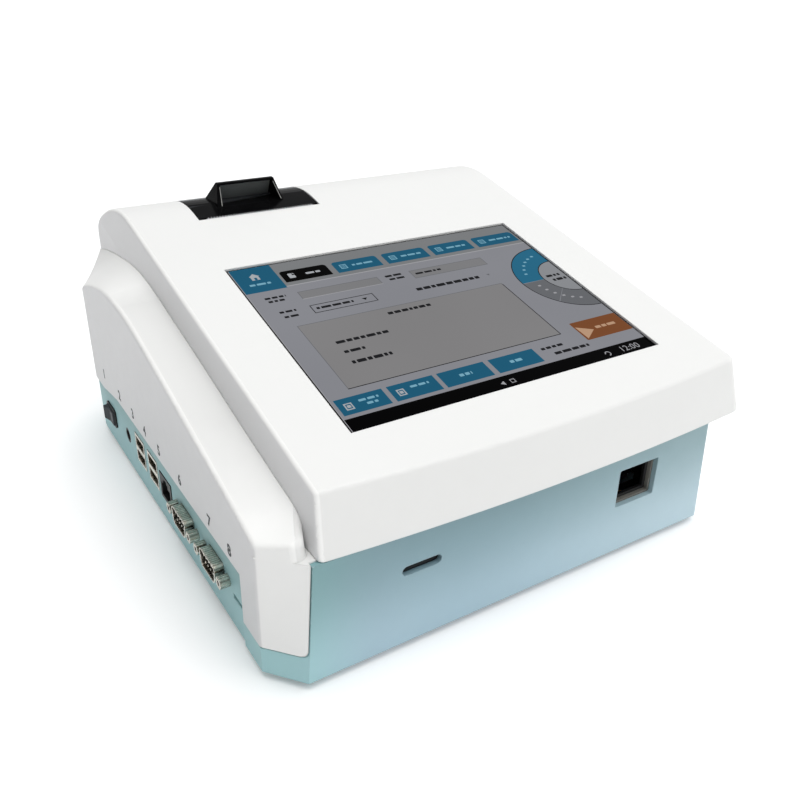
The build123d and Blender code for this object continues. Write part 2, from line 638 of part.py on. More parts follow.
def door_section(t0, t1):
    """Closed section of the door plate between depths t0 and t1."""
    def arc_pt(y, t):
        a = asin((y - ARCH_YC) / ARCH_R)
        return (ARCH_YC + (ARCH_R - t) * sin(a), ARCH_ZC + (ARCH_R - t) * cos(a))
    top0 = (DOOR_Y0, slope_z(DOOR_Y0) - 0.1 - t0)
    crease = (CREASE_Y, top_z(CREASE_Y) - 0.06 - t0)
    out = [top0, crease] + [arc_pt(y, 0.06 + t0) for y in (90, 94, 98, 102, 106, 110, 113)]
    for a in (64, 58, 52, 46, 40, 33, 26):
        out.append((HINGE_Y + (HINGE_R - t0) * cos(radians(a)), HINGE_Z + (HINGE_R - t0) * sin(radians(a))))
    inn = []
    for a in (26, 33, 40, 46, 52, 58, 64):
        inn.append((HINGE_Y + (HINGE_R - t1) * cos(radians(a)), HINGE_Z + (HINGE_R - t1) * sin(radians(a))))
    inn += [arc_pt(y, 0.06 + t1) for y in (113, 110, 106, 102, 98, 94, 90)]
    inn += [(CREASE_Y, top_z(CREASE_Y) - 0.06 - t1), (DOOR_Y0, slope_z(DOOR_Y0) - 0.1 - t1)]
    return out + inn


ARM_L = (-64.2, -62.2)
ARM_R = (-9.6, -7.6)
with BuildPart() as printer_door:
    side_prism(DOOR_X0, DOOR_X1, door_section(0.0, DOOR_T))
    # hinge barrel
    rod_x(IN_X0 + 0.6, IN_X1 - 0.6, HINGE_Y, HINGE_Z, HINGE_R - 0.02)
    # raised finger hood, open to the front
    with BuildSketch(Plane.XY.offset(124.0)) as hb:
        with BuildLine():
            Polyline((-53.0, 78.6), (-15.8, 78.6), (-15.8, 98.4), (-53.0, 98.4), close=True)
        make_face()
    with BuildSketch(Plane.XY.offset(135.3)) as ht:
        with BuildLine():
            Polyline((-49.6, 85.6), (-18.2, 85.6), (-18.2, 88.0), (-49.6, 88.0), close=True)
        make_face()
    loft([hb.sketch.faces()[0], ht.sketch.faces()[0]], ruled=True)
    with BuildSketch(Plane.XY.offset(124.55)) as cb:
        with BuildLine():
            Polyline((-49.9, 76.9), (-17.2, 76.9), (-17.2, 94.9), (-49.9, 94.9), close=True)
        make_face()
    with BuildSketch(Plane.XY.offset(134.2)) as ct:
        with BuildLine():
            Polyline((-48.5, 82.8), (-19.3, 82.8), (-19.3, 86.6), (-48.5, 86.6), close=True)
        make_face()
    loft([cb.sketch.faces()[0], ct.sketch.faces()[0]], ruled=True, mode=Mode.SUBTRACT)
    # arms that carry the roller
    for x0, x1 in (ARM_L, ARM_R):
        side_prism(x0, x1, [(PLATEN_Y - 3.4, PLATEN_Z), (PLATEN_Y - 2.6, PLATEN_Z - 2.6),
                            (PLATEN_Y + 2.6, PLATEN_Z - 2.6), (PLATEN_Y + 5.0, PLATEN_Z + 2.0),
                            (PLATEN_Y + 16.0, 123.0), (CREASE_Y, top_z(CREASE_Y) - 1.0),
                            (PLATEN_Y - 3.4, slope_z(PLATEN_Y - 3.4) - 1.0)])
        rod_x(x0 - 1, x1 + 1, PLATEN_Y, PLATEN_Z, 2.5, Mode.SUBTRACT)
    # stiffening ribs under the plate
    for x0 in (-50.0, -34.0, -18.0):
        side_prism(x0, x0 + 1.2, [(96.0, 120.2), (96.0, 124.4), (102.0, 123.0), (108.0, 120.8),
                                  (111.0, 119.0), (108.0, 117.0)])
    rod_x(-70, 0, HINGE_Y, HINGE_Z, 1.3, Mode.SUBTRACT)
finish(printer_door, "printer_door")

with BuildPart() as door_hinge_pin:
    rod_x(BK_X0, -5.4, HINGE_Y, HINGE_Z, 1.25)
finish(door_hinge_pin, "door_hinge_pin")

with BuildPart() as platen_shaft:
    rod_x(-64.3, GEAR_X1 + 0.2, PLATEN_Y, PLATEN_Z, 1.5)
finish(platen_shaft, "platen_shaft")

with BuildPart() as platen_roller:
    rod_x(-60.6, -11.0, PLATEN_Y, PLATEN_Z, PLATEN_R)
    rod_x(-62, -10, PLATEN_Y, PLATEN_Z, 1.5, Mode.SUBTRACT)
finish(platen_roller, "platen_roller")

with BuildPart() as platen_bushes:
    for x0, x1 in (ARM_L, ARM_R):
        rod_x(x0, x1, PLATEN_Y, PLATEN_Z, 2.5)
        rod_x(x0 - 1, x1 + 1, PLATEN_Y, PLATEN_Z, 1.55, Mode.SUBTRACT)
finish(platen_bushes, "platen_bushes")

# gear train: tooth positions so that the wheels mesh
aa = atan2(PLATEN_Z - IDLER_Z, PLATEN_Y - IDLER_Y)
ph_idler = aa
ph_platen = aa + pi + pi / T_PLATEN
ab = atan2(PINION_Z - IDLER_Z, PINION_Y - IDLER_Y)
st_i = 2 * pi / T_IDLER
off = ((ph_idler - ab + st_i / 2) % st_i) - st_i / 2
ph_pinion = ab + pi - off * T_IDLER / T_PINION + pi / T_PINION


def gear(teeth, cy, cz, phase, bore):
    with BuildPart() as g:
        with BuildSketch(Plane.YZ.offset(GEAR_X0)) as sk:
            with BuildLine():
                Polyline(*gear_pts(teeth, GEAR_M, cy, cz, phase), close=True)
            make_face()
            with Locations((cy, cz)):
                Circle(bore, mode=Mode.SUBTRACT)
        extrude(sk.sketch, amount=GEAR_X1 - GEAR_X0)
    return g.part


wheel_a = gear(T_PLATEN, PLATEN_Y, PLATEN_Z, ph_platen, 1.5)
wheel_b = gear(T_IDLER, IDLER_Y, IDLER_Z, ph_idler, 1.06)
wheel_c = gear(T_PINION, PINION_Y, PINION_Z, ph_pinion, 0.6)
with BuildPart() as platen_gear:
    add(wheel_a)
finish(platen_gear, "platen_gear")
with BuildPart() as drive_gear:
    add(wheel_b)
finish(drive_gear, "drive_gear")
with BuildPart() as motor_pinion:
    add(wheel_c)
    rod_x(-12.0, GEAR_X1, PINION_Y, PINION_Z, 0.75)
finish(motor_pinion, "motor_pinion")

with BuildPart() as printer_motor:
    rod_x(-20.5, -8.2, PINION_Y, PINION_Z, 5.25)
    block(-8.2, -7.2, PINION_Y - 5.2, PINION_Y + 5.2, PINION_Z - 2.5, PINION_Z + 2.5)
    rod_x(-13.0, -6.0, PINION_Y, PINION_Z, 0.81, Mode.SUBTRACT)
finish(printer_motor, "printer_motor")

with BuildPart() as print_head:
    block(-60.5, -11.2, 70.1, 71.3, 104.6, 116.3)
    block(-60.5, -22.0, 71.3, 74.6, 104.6, 105.8)
    for i in range(9):
        block(-58.0 + i * 4.2, -56.8 + i * 4.2, 71.3, 74.6, 98.0, 104.6)
finish(print_head, "print_head")

with BuildPart() as head_springs:
    for x0 in (-50.0, -26.0):
        side_prism(x0, x0 + 5.0, [(69.1, 109.0), (69.4, 109.0), (70.1, 111.8), (70.1, 112.2),
                                  (69.4, 115.0), (69.1, 115.0), (69.75, 112.0)])
finish(head_springs, "head_springs")

with BuildPart() as tear_bar:
    block(-63.0, -3.5, 68.0, 68.4, 117.0, 122.75)
    for i in range(39):
        x = -62.6 + i * 1.5
        with BuildSketch(Plane.XZ.offset(-68.4)) as th:
            with BuildLine():
                Polyline((x, 122.7), (x + 1.3, 122.7), (x + 0.65, 123.5), close=True)
            make_face()
        extrude(th.sketch, amount=0.4)
finish(tear_bar, "tear_bar")

with BuildPart() as paper_roll:
    rod_x(-64.0, -8.0, ROLL_Y, ROLL_Z, ROLL_R)
    rod_x(-66.0, -6.0, ROLL_Y, ROLL_Z, 6.0, Mode.SUBTRACT)
finish(paper_roll, "paper_roll")

# ------------------------------------------------------- sockets on the side
FACE = PANEL_X                    # outer face of the socket panel
PB_X0, PB_X1 = -115.4, -96.5      # socket board
with BuildPart() as port_board:
    block(PB_X0, PB_X1, -103.0, 66.0, SOCKET_Z0 - 1.6, SOCKET_Z0)
finish(port_board, "port_board")

with BuildPart() as power_switch_body:
    with BuildSketch(Plane.YZ.offset(FACE - 0.8)) as flange:
        with Locations((SWITCH_Y, SW_Z)):
            RectangleRounded(16.0, 11.0, 2.4)
    extrude(flange.sketch, amount=0.8)
    block(FACE, -105.0, SWITCH_Y - 7.2, SWITCH_Y + 7.2, SW_Z - 4.6, SW_Z + 4.6)
    block(-130, -109.0, SWITCH_Y - 6.6, SWITCH_Y + 6.6, SW_Z - 4.0, SW_Z + 4.0, Mode.SUBTRACT)
    rod_z(SW_Z - 4.4, SW_Z + 4.4, FACE - 0.1, SWITCH_Y, 1.06, Mode.SUBTRACT)
    for dy in (-4.0, 0.0, 4.0):
        block(-105.0, -98.5, SWITCH_Y + dy - 0.4, SWITCH_Y + dy + 0.4, SW_Z - 2.0, SW_Z + 2.0)
finish(power_switch_body, "power_switch_body")

RK = 8.0                          # rocker rests tipped by this angle
piv = (FACE - 0.1, SWITCH_Y)


def rocker_pts():
    raw = [(-2.5, -5.8), (-1.7, 0.0), (-2.5, 5.8)]
    for a in (15, 7.5, 0, -10, -20, -28):
        raw.append((-6.3 * sin(radians(a)), 6.3 * cos(radians(a))))
    for a in (-28, -20, -10, 0, 7.5, 15):
        raw.append((-6.3 * sin(radians(a)), -6.3 * cos(radians(a))))
    c, s = cos(radians(RK)), sin(radians(RK))
    return [(piv[0] + x * c - y * s, piv[1] + x * s + y * c) for x, y in raw]


with BuildPart() as power_rocker:
    with BuildSketch(Plane.XY.offset(SW_Z - 3.7)) as rk:
        with BuildLine():
            Polyline(*rocker_pts(), close=True)
        make_face()
    extrude(rk.sketch, amount=7.4)
    rod_z(SW_Z - 4.3, SW_Z + 4.3, piv[0], piv[1], 1.0)
finish(power_rocker, "power_rocker")

with BuildPart() as dc_jack:
    block(-115.6, -101.5, DC_Y - 4.6, DC_Y + 4.6, SOCKET_Z0, 26.6)
    rod_x(FACE + 0.1, -115.0, DC_Y, 21.3, 3.95)
    rod_x(-125, -106.0, DC_Y, 21.3, 2.85, Mode.SUBTRACT)
    rod_x(FACE + 1.2, -105.0, DC_Y, 21.3, 1.0)
finish(dc_jack, "dc_jack")


def usb(yc):
    with BuildPart() as u:
        block(FACE - 0.3, -101.5, yc - 7.0, yc + 7.0, SOCKET_Z0, 30.9)
        for z0 in (16.4, 24.1):
            block(-130, -106.0, yc - 6.3, yc + 6.3, z0, z0 + 5.4, Mode.SUBTRACT)
            block(FACE + 0.8, -105.0, yc - 5.6, yc + 5.6, z0 + 3.0, z0 + 4.7)
    return u.part


usb_a, usb_b = usb(USB1_Y), usb(USB2_Y)
with BuildPart() as usb_port_rear:
    add(usb_a)
finish(usb_port_rear, "usb_port_rear")
with BuildPart() as usb_port_front:
    add(usb_b)
finish(usb_port_front, "usb_port_front")

with BuildPart() as network_jack:
    block(FACE - 0.35, -100.9, LAN_Y - 7.9, LAN_Y + 7.9, SOCKET_Z0, 28.8)
    block(-130, -107.0, LAN_Y - 6.0, LAN_Y + 6.0, 16.9, 24.2, Mode.SUBTRACT)
    block(-130, -109.0, LAN_Y - 3.2, LAN_Y + 3.2, 24.0, 26.0, Mode.SUBTRACT)
    block(-130, -109.0, LAN_Y - 1.6, LAN_Y + 1.6, 25.8, 27.3, Mode.SUBTRACT)
    for i in range(8):
        y = LAN_Y - 3.57 + 1.02 * i
        block(-116.5, -107.0, y - 0.2, y + 0.2, 16.9, 18.3)
finish(network_jack, "network_jack")


def dsub(yc):
    def shell_pts(g):
        return [(yc - DS_W + g, PORT_Z + DS_H - g), (yc + DS_W - g, PORT_Z + DS_H - g),
                (yc + DS_W2 - g, PORT_Z - DS_H + g), (yc - DS_W2 + g, PORT_Z - DS_H + g)]
    with BuildPart() as d:
        # flange behind the panel, with clearance for the jackscrew studs
        with BuildSketch(Plane.YZ.offset(-115.75)) as fl:
            with Locations((yc, PORT_Z)):
                RectangleRounded(30.8, 12.5, 1.4)
                with Locations((-12.495, 0), (12.495, 0)):
                    Circle(1.5, mode=Mode.SUBTRACT)
        extrude(fl.sketch, amount=0.8)
        side_prism(FACE - 4.2, -115.0, shell_pts(0.0), r=2.5, pick=lambda v: True)
        side_prism(FACE - 7.0, FACE - 0.3, shell_pts(0.55), Mode.SUBTRACT, r=1.95, pick=lambda v: True)
        block(-115.0, -107.0, yc - 9.5, yc + 9.5, PORT_Z - 5.5, PORT_Z + 5.5)
        block(-111.0, -100.5, yc - 15.4, yc + 15.4, SOCKET_Z0, PORT_Z - 5.4)
        for i in range(5):
            rod_x(FACE - 3.4, -117.0, yc + (i - 2) * 2.77, PORT_Z + 1.42, 0.5)
        for i in range(4):
            rod_x(FACE - 3.4, -117.0, yc + (i - 1.5) * 2.77, PORT_Z - 1.42, 0.5)
    return d.part


dsub_a, dsub_b = dsub(COM1_Y), dsub(COM2_Y)
with BuildPart() as serial_port_rear:
    add(dsub_a)
finish(serial_port_rear, "serial_port_rear")
with BuildPart() as serial_port_front:
    add(dsub_b)
finish(serial_port_front, "serial_port_front")

with BuildPart() as serial_jackscrews:
    for yc in (COM1_Y, COM2_Y):
        for dy in (-12.495, 12.495):
            with BuildSketch(Plane.YZ.offset(FACE - 4.4)) as hx:
                with Locations((yc + dy, PORT_Z)):
                    RegularPolygon(2.75, 6)
            extrude(hx.sketch, amount=4.4)
            rod_x(FACE, FACE + 6.0, yc + dy, PORT_Z, 1.4)
            rod_x(FACE - 6.0, FACE - 1.2, yc + dy, PORT_Z, 1.25, Mode.SUBTRACT)
finish(serial_jackscrews, "serial_jackscrews")

with BuildPart() as side_card_reader:
    block(FACE + 1.1, -103.0, SIDE_SLOT_Y - 6.6, SIDE_SLOT_Y + 6.6, SOCKET_Z0, 20.6)
    block(FACE - 1, -115.2, SIDE_SLOT_Y - 8, SIDE_SLOT_Y + 8, 15, 18.15, Mode.SUBTRACT)
    block(FACE - 1, -115.2, SIDE_SLOT_Y - 8, SIDE_SLOT_Y + 8, 19.85, 22, Mode.SUBTRACT)
    block(FACE - 1, -115.2, SIDE_SLOT_Y - 8, SIDE_SLOT_Y - 5.7, 15, 22, Mode.SUBTRACT)
    block(FACE - 1, -115.2, SIDE_SLOT_Y + 5.7, SIDE_SLOT_Y + 8, 15, 22, Mode.SUBTRACT)
    block(FACE - 1, -105.0, SIDE_SLOT_Y - 5.3, SIDE_SLOT_Y + 5.3, 18.6, 19.5, Mode.SUBTRACT)
finish(side_card_reader, "side_card_reader")

# ------------------------------------------------------------ front openings
with BuildPart() as front_card_reader:
    block(CARD_X - 13.0, CARD_X + 13.0, FRONT_Y + 2.5, FRONT_Y + 26.0, CARD_Z - 3.6, CARD_Z + 3.2)
    block(CARD_X - 8.3, CARD_X + 8.3, FRONT_Y - 1, FRONT_Y + 24.0, CARD_Z - 0.7, CARD_Z + 1.6, Mode.SUBTRACT)
    block(CARD_X - 16.0, CARD_X + 16.0, FRONT_Y + 2.5, FRONT_Y + 28.0, CARD_Z - 5.2, CARD_Z - 3.6)
finish(front_card_reader, "front_card_reader")

with BuildPart() as cassette_bezel:
    y0 = FRONT_Y + 2.6
    block(CAS_X - 13.6, CAS_X + 13.6, y0, y0 + 3.6, CAS_Z - 11.6, CAS_Z + 11.6)
    block(CAS_X - 10.7, CAS_X + 10.7, y0 - 1, y0 + 2.0, CAS_Z - 8.6, CAS_Z + 8.6, Mode.SUBTRACT)
    block(CAS_X - 9.3, CAS_X + 9.3, y0 - 1, y0 + 5, CAS_Z - 7.2, CAS_Z + 7.2, Mode.SUBTRACT)
finish(cassette_bezel, "cassette_bezel")

# ----------------------------------------------------------- cassette scanner
SC_X = CAS_X
with BuildPart() as scan_chassis:
    block(31.5, 76.5, -114.0, 73.0, 8.0, 10.0)
    # front upright, open in the middle for the cassette
    block(31.5, 76.5, -117.0, -114.5, 8.0, 38.0)
    block(42.0, 65.4, -118.0, -114.0, 29.0, 40.0, Mode.SUBTRACT)
    # rear upright
    block(31.5, 76.5, 32.0, 34.5, 8.0, 38.0)
    for x in ROD_X:
        rod_y(-117.5, 35.0, x, ROD_Z, ROD_R, Mode.SUBTRACT)
    rod_y(-117.5, 35.0, SC_X, SCREW_Z, 4.0, Mode.SUBTRACT)
    block(31.5, 76.5, -114.6, -113.9, 8.0, 10.0)
    # side cheeks that carry the optics
    block(31.5, 33.5, OPT_Y - 18, OPT_Y + 18, 8.0, 60.0)
    block(74.5, 76.5, OPT_Y - 18, OPT_Y + 18, 8.0, 60.0)
    # motor plate
    block(SC_X - 14.5, SC_X + 14.5, 44.0, 46.0, 8.0, 39.0)
    rod_y(43.0, 47.0, SC_X, SCREW_Z, 11.2, Mode.SUBTRACT)
finish(scan_chassis, "scan_chassis")

with BuildPart() as guide_rods:
    for x in ROD_X:
        rod_y(-117.0, 34.5, x, ROD_Z, ROD_R)
finish(guide_rods, "guide_rods")

with BuildPart() as screw_bearings:
    for y0, y1 in ((-117.0, -114.0), (32.0, 35.0)):
        rod_y(y0, y1, SC_X, SCREW_Z, 4.0)
        rod_y(y0 - 1, y1 + 1, SC_X, SCREW_Z, SCREW_R + 0.05, Mode.SUBTRACT)
finish(screw_bearings, "screw_bearings")

with BuildPart() as lead_screw:
    rod_y(-117.5, 39.5, SC_X, SCREW_Z, SCREW_R)
finish(lead_screw, "lead_screw")

with BuildPart() as shaft_coupling:
    rod_y(35.6, 43.2, SC_X, SCREW_Z, 5.5)
    rod_y(35.0, 44.0, SC_X, SCREW_Z, SCREW_R, Mode.SUBTRACT)
finish(shaft_coupling, "shaft_coupling")

with BuildPart() as stepper_shaft:
    rod_y(39.6, 52.0, SC_X, SCREW_Z, SCREW_R)
finish(stepper_shaft, "stepper_shaft")

with BuildPart() as stepper_motor:
    block(SC_X - 14.0, SC_X + 14.0, 46.0, 72.0, SCREW_Z - 14.0, SCREW_Z + 14.0)
    rod_y(44.2, 46.0, SC_X, SCREW_Z, 11.0)
    rod_y(43.0, 54.0, SC_X, SCREW_Z, SCREW_R + 0.05, Mode.SUBTRACT)
finish(stepper_motor, "stepper_motor")

with BuildPart() as cassette_carriage:
    block(34.0, 74.0, CAR_Y0 + 2, CAR_Y1, 28.4, 33.6)
    block(42.4, 65.0, CAR_Y0, CAR_Y1, 28.4, 40.5)
    block(43.6, 63.8, CAR_Y0 - 1, CAR_Y1 - 1.5, 30.4, 42.0, Mode.SUBTRACT)
    block(43.0, 64.4, CAR_Y0 + 12, CAR_Y0 + 46, 35.0, 42.0, Mode.SUBTRACT)
    for x in ROD_X:
        rod_y(CAR_Y0 - 2, CAR_Y1 + 2, x, ROD_Z, ROD_R + 0.06, Mode.SUBTRACT)
finish(cassette_carriage, "cassette_carriage")

with BuildPart() as carriage_nut:
    block(SC_X - 6.0, SC_X + 6.0, -64.0, -54.0, 18.0, 28.4)
    rod_y(-66.0, -52.0, SC_X, SCREW_Z, SCREW_R + 0.07, Mode.SUBTRACT)
finish(carriage_nut, "carriage_nut")

with BuildPart() as end_sensor:
    block(SC_X - 16.5, SC_X - 9.5, -106.0, -98.0, 10.0, 16.5)
    block(SC_X - 14.0, SC_X - 12.0, -107.0, -97.0, 12.0, 18.0, Mode.SUBTRACT)
finish(end_sensor, "end_sensor")

# -------------------------------------------------------------------- optics
OZ = 60.0
with BuildPart() as optics_housing:
    block(33.5, 74.5, OPT_Y - 17, OPT_Y + 17, 48.0, 72.0)
    rod_z(40.0, 80.0, SC_X, OPT_Y, 5.5, Mode.SUBTRACT)
    rod_y(OPT_Y, OPT_Y + 20, SC_X, OZ, 5.5, Mode.SUBTRACT)
    block(SC_X - 7.0, SC_X + 7.0, OPT_Y - 6.0, OPT_Y + 6.0, OZ - 6.0, OZ + 6.0, Mode.SUBTRACT)
finish(optics_housing, "optics_housing")

with BuildPart() as objective_lens:
    rod_z(42.0, 50.5, SC_X, OPT_Y, 5.5)
    rod_z(41.0, 51.5, SC_X, OPT_Y, 4.0, Mode.SUBTRACT)
    rod_z(45.0, 47.5, SC_X, OPT_Y, 4.0)
finish(objective_lens, "objective_lens")

with BuildPart() as beam_splitter:
    with Locations(Location((SC_X, OPT_Y, OZ), (45, 0, 0))):
        Box(14.0, 15.4, 1.1)
finish(beam_splitter, "beam_splitter")

with BuildPart() as excitation_filter:
    rod_y(OPT_Y + 8.0, OPT_Y + 10.0, SC_X, OZ, 5.5)
finish(excitation_filter, "excitation_filter")

with BuildPart() as excitation_led:
    rod_y(OPT_Y + 11.5, OPT_Y + 17.0, SC_X, OZ, 4.0)
    block(SC_X - 9.0, SC_X + 9.0, OPT_Y + 17.0, OPT_Y + 18.6, OZ - 9.0, OZ + 9.0)
finish(excitation_led, "excitation_led")

with BuildPart() as emission_filter:
    rod_z(68.5, 70.5, SC_X, OPT_Y, 5.5)
finish(emission_filter, "emission_filter")

with BuildPart() as detector:
    rod_z(70.5, 72.0, SC_X, OPT_Y, 4.2)
    block(SC_X - 12.0, SC_X + 12.0, OPT_Y - 12.0, OPT_Y + 12.0, 72.0, 73.6)
    rod_z(73.6, 77.0, SC_X - 5.0, OPT_Y, 2.6)
    block(SC_X + 1.0, SC_X + 9.0, OPT_Y - 8.0, OPT_Y + 8.0, 73.6, 79.0)
finish(detector, "detector")

# -------------------------------------------------------------- electronics
MB = (-90.0, 20.0, -76.0, 36.0)
HOLES = [(-86.0, -72.0), (16.0, -72.0), (-86.0, 32.0), (16.0, 32.0)]
with BuildPart() as main_board:
    block(MB[0], MB[1], MB[2], MB[3], SOCKET_Z0 - 1.6, SOCKET_Z0)
    block(-52.0, -28.0, -20.0, 4.0, SOCKET_Z0, SOCKET_Z0 + 1.6)
    block(-22.0, -8.0, -20.0, -2.0, SOCKET_Z0, SOCKET_Z0 + 1.2)
    block(-52.0, -23.0, -49.0, -43.0, SOCKET_Z0, SOCKET_Z0 + 4.0)
    block(-84.0, -64.0, 10.0, 22.0, SOCKET_Z0, SOCKET_Z0 + 6.0)
    block(-10.0, 10.0, 12.0, 20.0, SOCKET_Z0, SOCKET_Z0 + 5.0)
    block(-90.0, -86.0, -30.0, 10.0, SOCKET_Z0, SOCKET_Z0 + 5.0)
    for x, y in ((-75, -40), (-68, -40), (-75, -30)):
        rod_z(SOCKET_Z0, SOCKET_Z0 + 8.0, x, y, 3.0)
    for x, y in HOLES:
        rod_z(10, 20, x, y, 1.6, Mode.SUBTRACT)
finish(main_board, "main_board")

with BuildPart() as board_standoffs:
    for x, y in HOLES:
        with BuildSketch(Plane.XY.offset(BASE_Z0 + BASE_T)) as so:
            with Locations((x, y)):
                RegularPolygon(3.0, 6)
                Circle(1.3, mode=Mode.SUBTRACT)
        extrude(so.sketch, amount=SOCKET_Z0 - 1.6 - BASE_Z0 - BASE_T)
finish(board_standoffs, "board_standoffs")

with BuildPart() as board_screws:
    for x, y in HOLES:
        rod_z(SOCKET_Z0, SOCKET_Z0 + 2.0, x, y, 2.7)
        rod_z(SOCKET_Z0 - 7.0, SOCKET_Z0, x, y, 1.25)
        block(x - 1.6, x + 1.6, y - 0.35, y + 0.35, SOCKET_Z0 + 1.2, SOCKET_Z0 + 3, Mode.SUBTRACT)
        block(x - 0.35, x + 0.35, y - 1.6, y + 1.6, SOCKET_Z0 + 1.2, SOCKET_Z0 + 3, Mode.SUBTRACT)
finish(board_screws, "board_screws")

with BuildPart() as beeper:
    rod_z(SOCKET_Z0, SOCKET_Z0 + 8.5, 2.0, -50.0, 6.0)
    rod_z(SOCKET_Z0 + 7.5, SOCKET_Z0 + 10, 2.0, -50.0, 1.2, Mode.SUBTRACT)
finish(beeper, "beeper")

RB_Y = -46.0
with BuildPart() as ribbon_cable:
    top = slope_z(RB_Y) + (LCD_BOT - 1.3) / C12
    block(-48.0, -27.0, RB_Y - 0.25, RB_Y + 0.25, SOCKET_Z0 + 4.0, top + 0.05)
finish(ribbon_cable, "ribbon_cable")
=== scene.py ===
import bpy, bmesh, json, math
from mathutils import Vector, Matrix


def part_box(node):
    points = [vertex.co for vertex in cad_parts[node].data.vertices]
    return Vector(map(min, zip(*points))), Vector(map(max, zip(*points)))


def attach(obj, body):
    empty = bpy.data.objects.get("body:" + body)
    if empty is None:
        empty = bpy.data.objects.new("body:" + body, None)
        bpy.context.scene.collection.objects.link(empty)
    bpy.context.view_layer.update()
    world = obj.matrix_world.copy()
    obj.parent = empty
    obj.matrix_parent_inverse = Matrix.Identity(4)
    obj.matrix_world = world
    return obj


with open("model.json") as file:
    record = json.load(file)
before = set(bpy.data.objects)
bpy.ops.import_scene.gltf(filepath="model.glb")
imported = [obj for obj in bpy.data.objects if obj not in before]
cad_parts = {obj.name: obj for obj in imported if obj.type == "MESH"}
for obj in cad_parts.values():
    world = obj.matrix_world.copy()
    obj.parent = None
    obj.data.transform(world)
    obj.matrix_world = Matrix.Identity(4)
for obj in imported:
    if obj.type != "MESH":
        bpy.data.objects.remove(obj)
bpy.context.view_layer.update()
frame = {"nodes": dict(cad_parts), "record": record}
scene = bpy.context.scene
nodes = frame["nodes"]

# ------------------------------------------------------------------ camera
cam_data = bpy.data.cameras.new("photo_camera")
cam_data.sensor_width = 36.0
cam_data.lens = 37.96
cam_data.clip_start = 0.01
cam_data.clip_end = 60.0
cam = bpy.data.objects.new("photo_camera", cam_data)
scene.collection.objects.link(cam)
right = Vector((0.8463, -0.5324, 0.0196)).normalized()
fwd = Vector((0.4789, 0.7442, -0.4658)).normalized()
up = right.cross(fwd).normalized()
right = fwd.cross(up).normalized()
rot = Matrix((right, up, -fwd)).transposed().to_4x4()
cam.matrix_world = Matrix.Translation(Vector((-0.2039, -0.3327, 0.2408))) @ rot
scene.camera = cam

scene.view_settings.view_transform = 'Standard'
scene.view_settings.look = 'None'
scene.view_settings.exposure = 0.0
scene.view_settings.gamma = 1.0


# ------------------------------------------------------------ material kit
def lin(r, g, b):
    def f(c):
        c = c / 255.0
        return c / 12.92 if c <= 0.04045 else ((c + 0.055) / 1.055) ** 2.4
    return (f(r), f(g), f(b), 1.0)


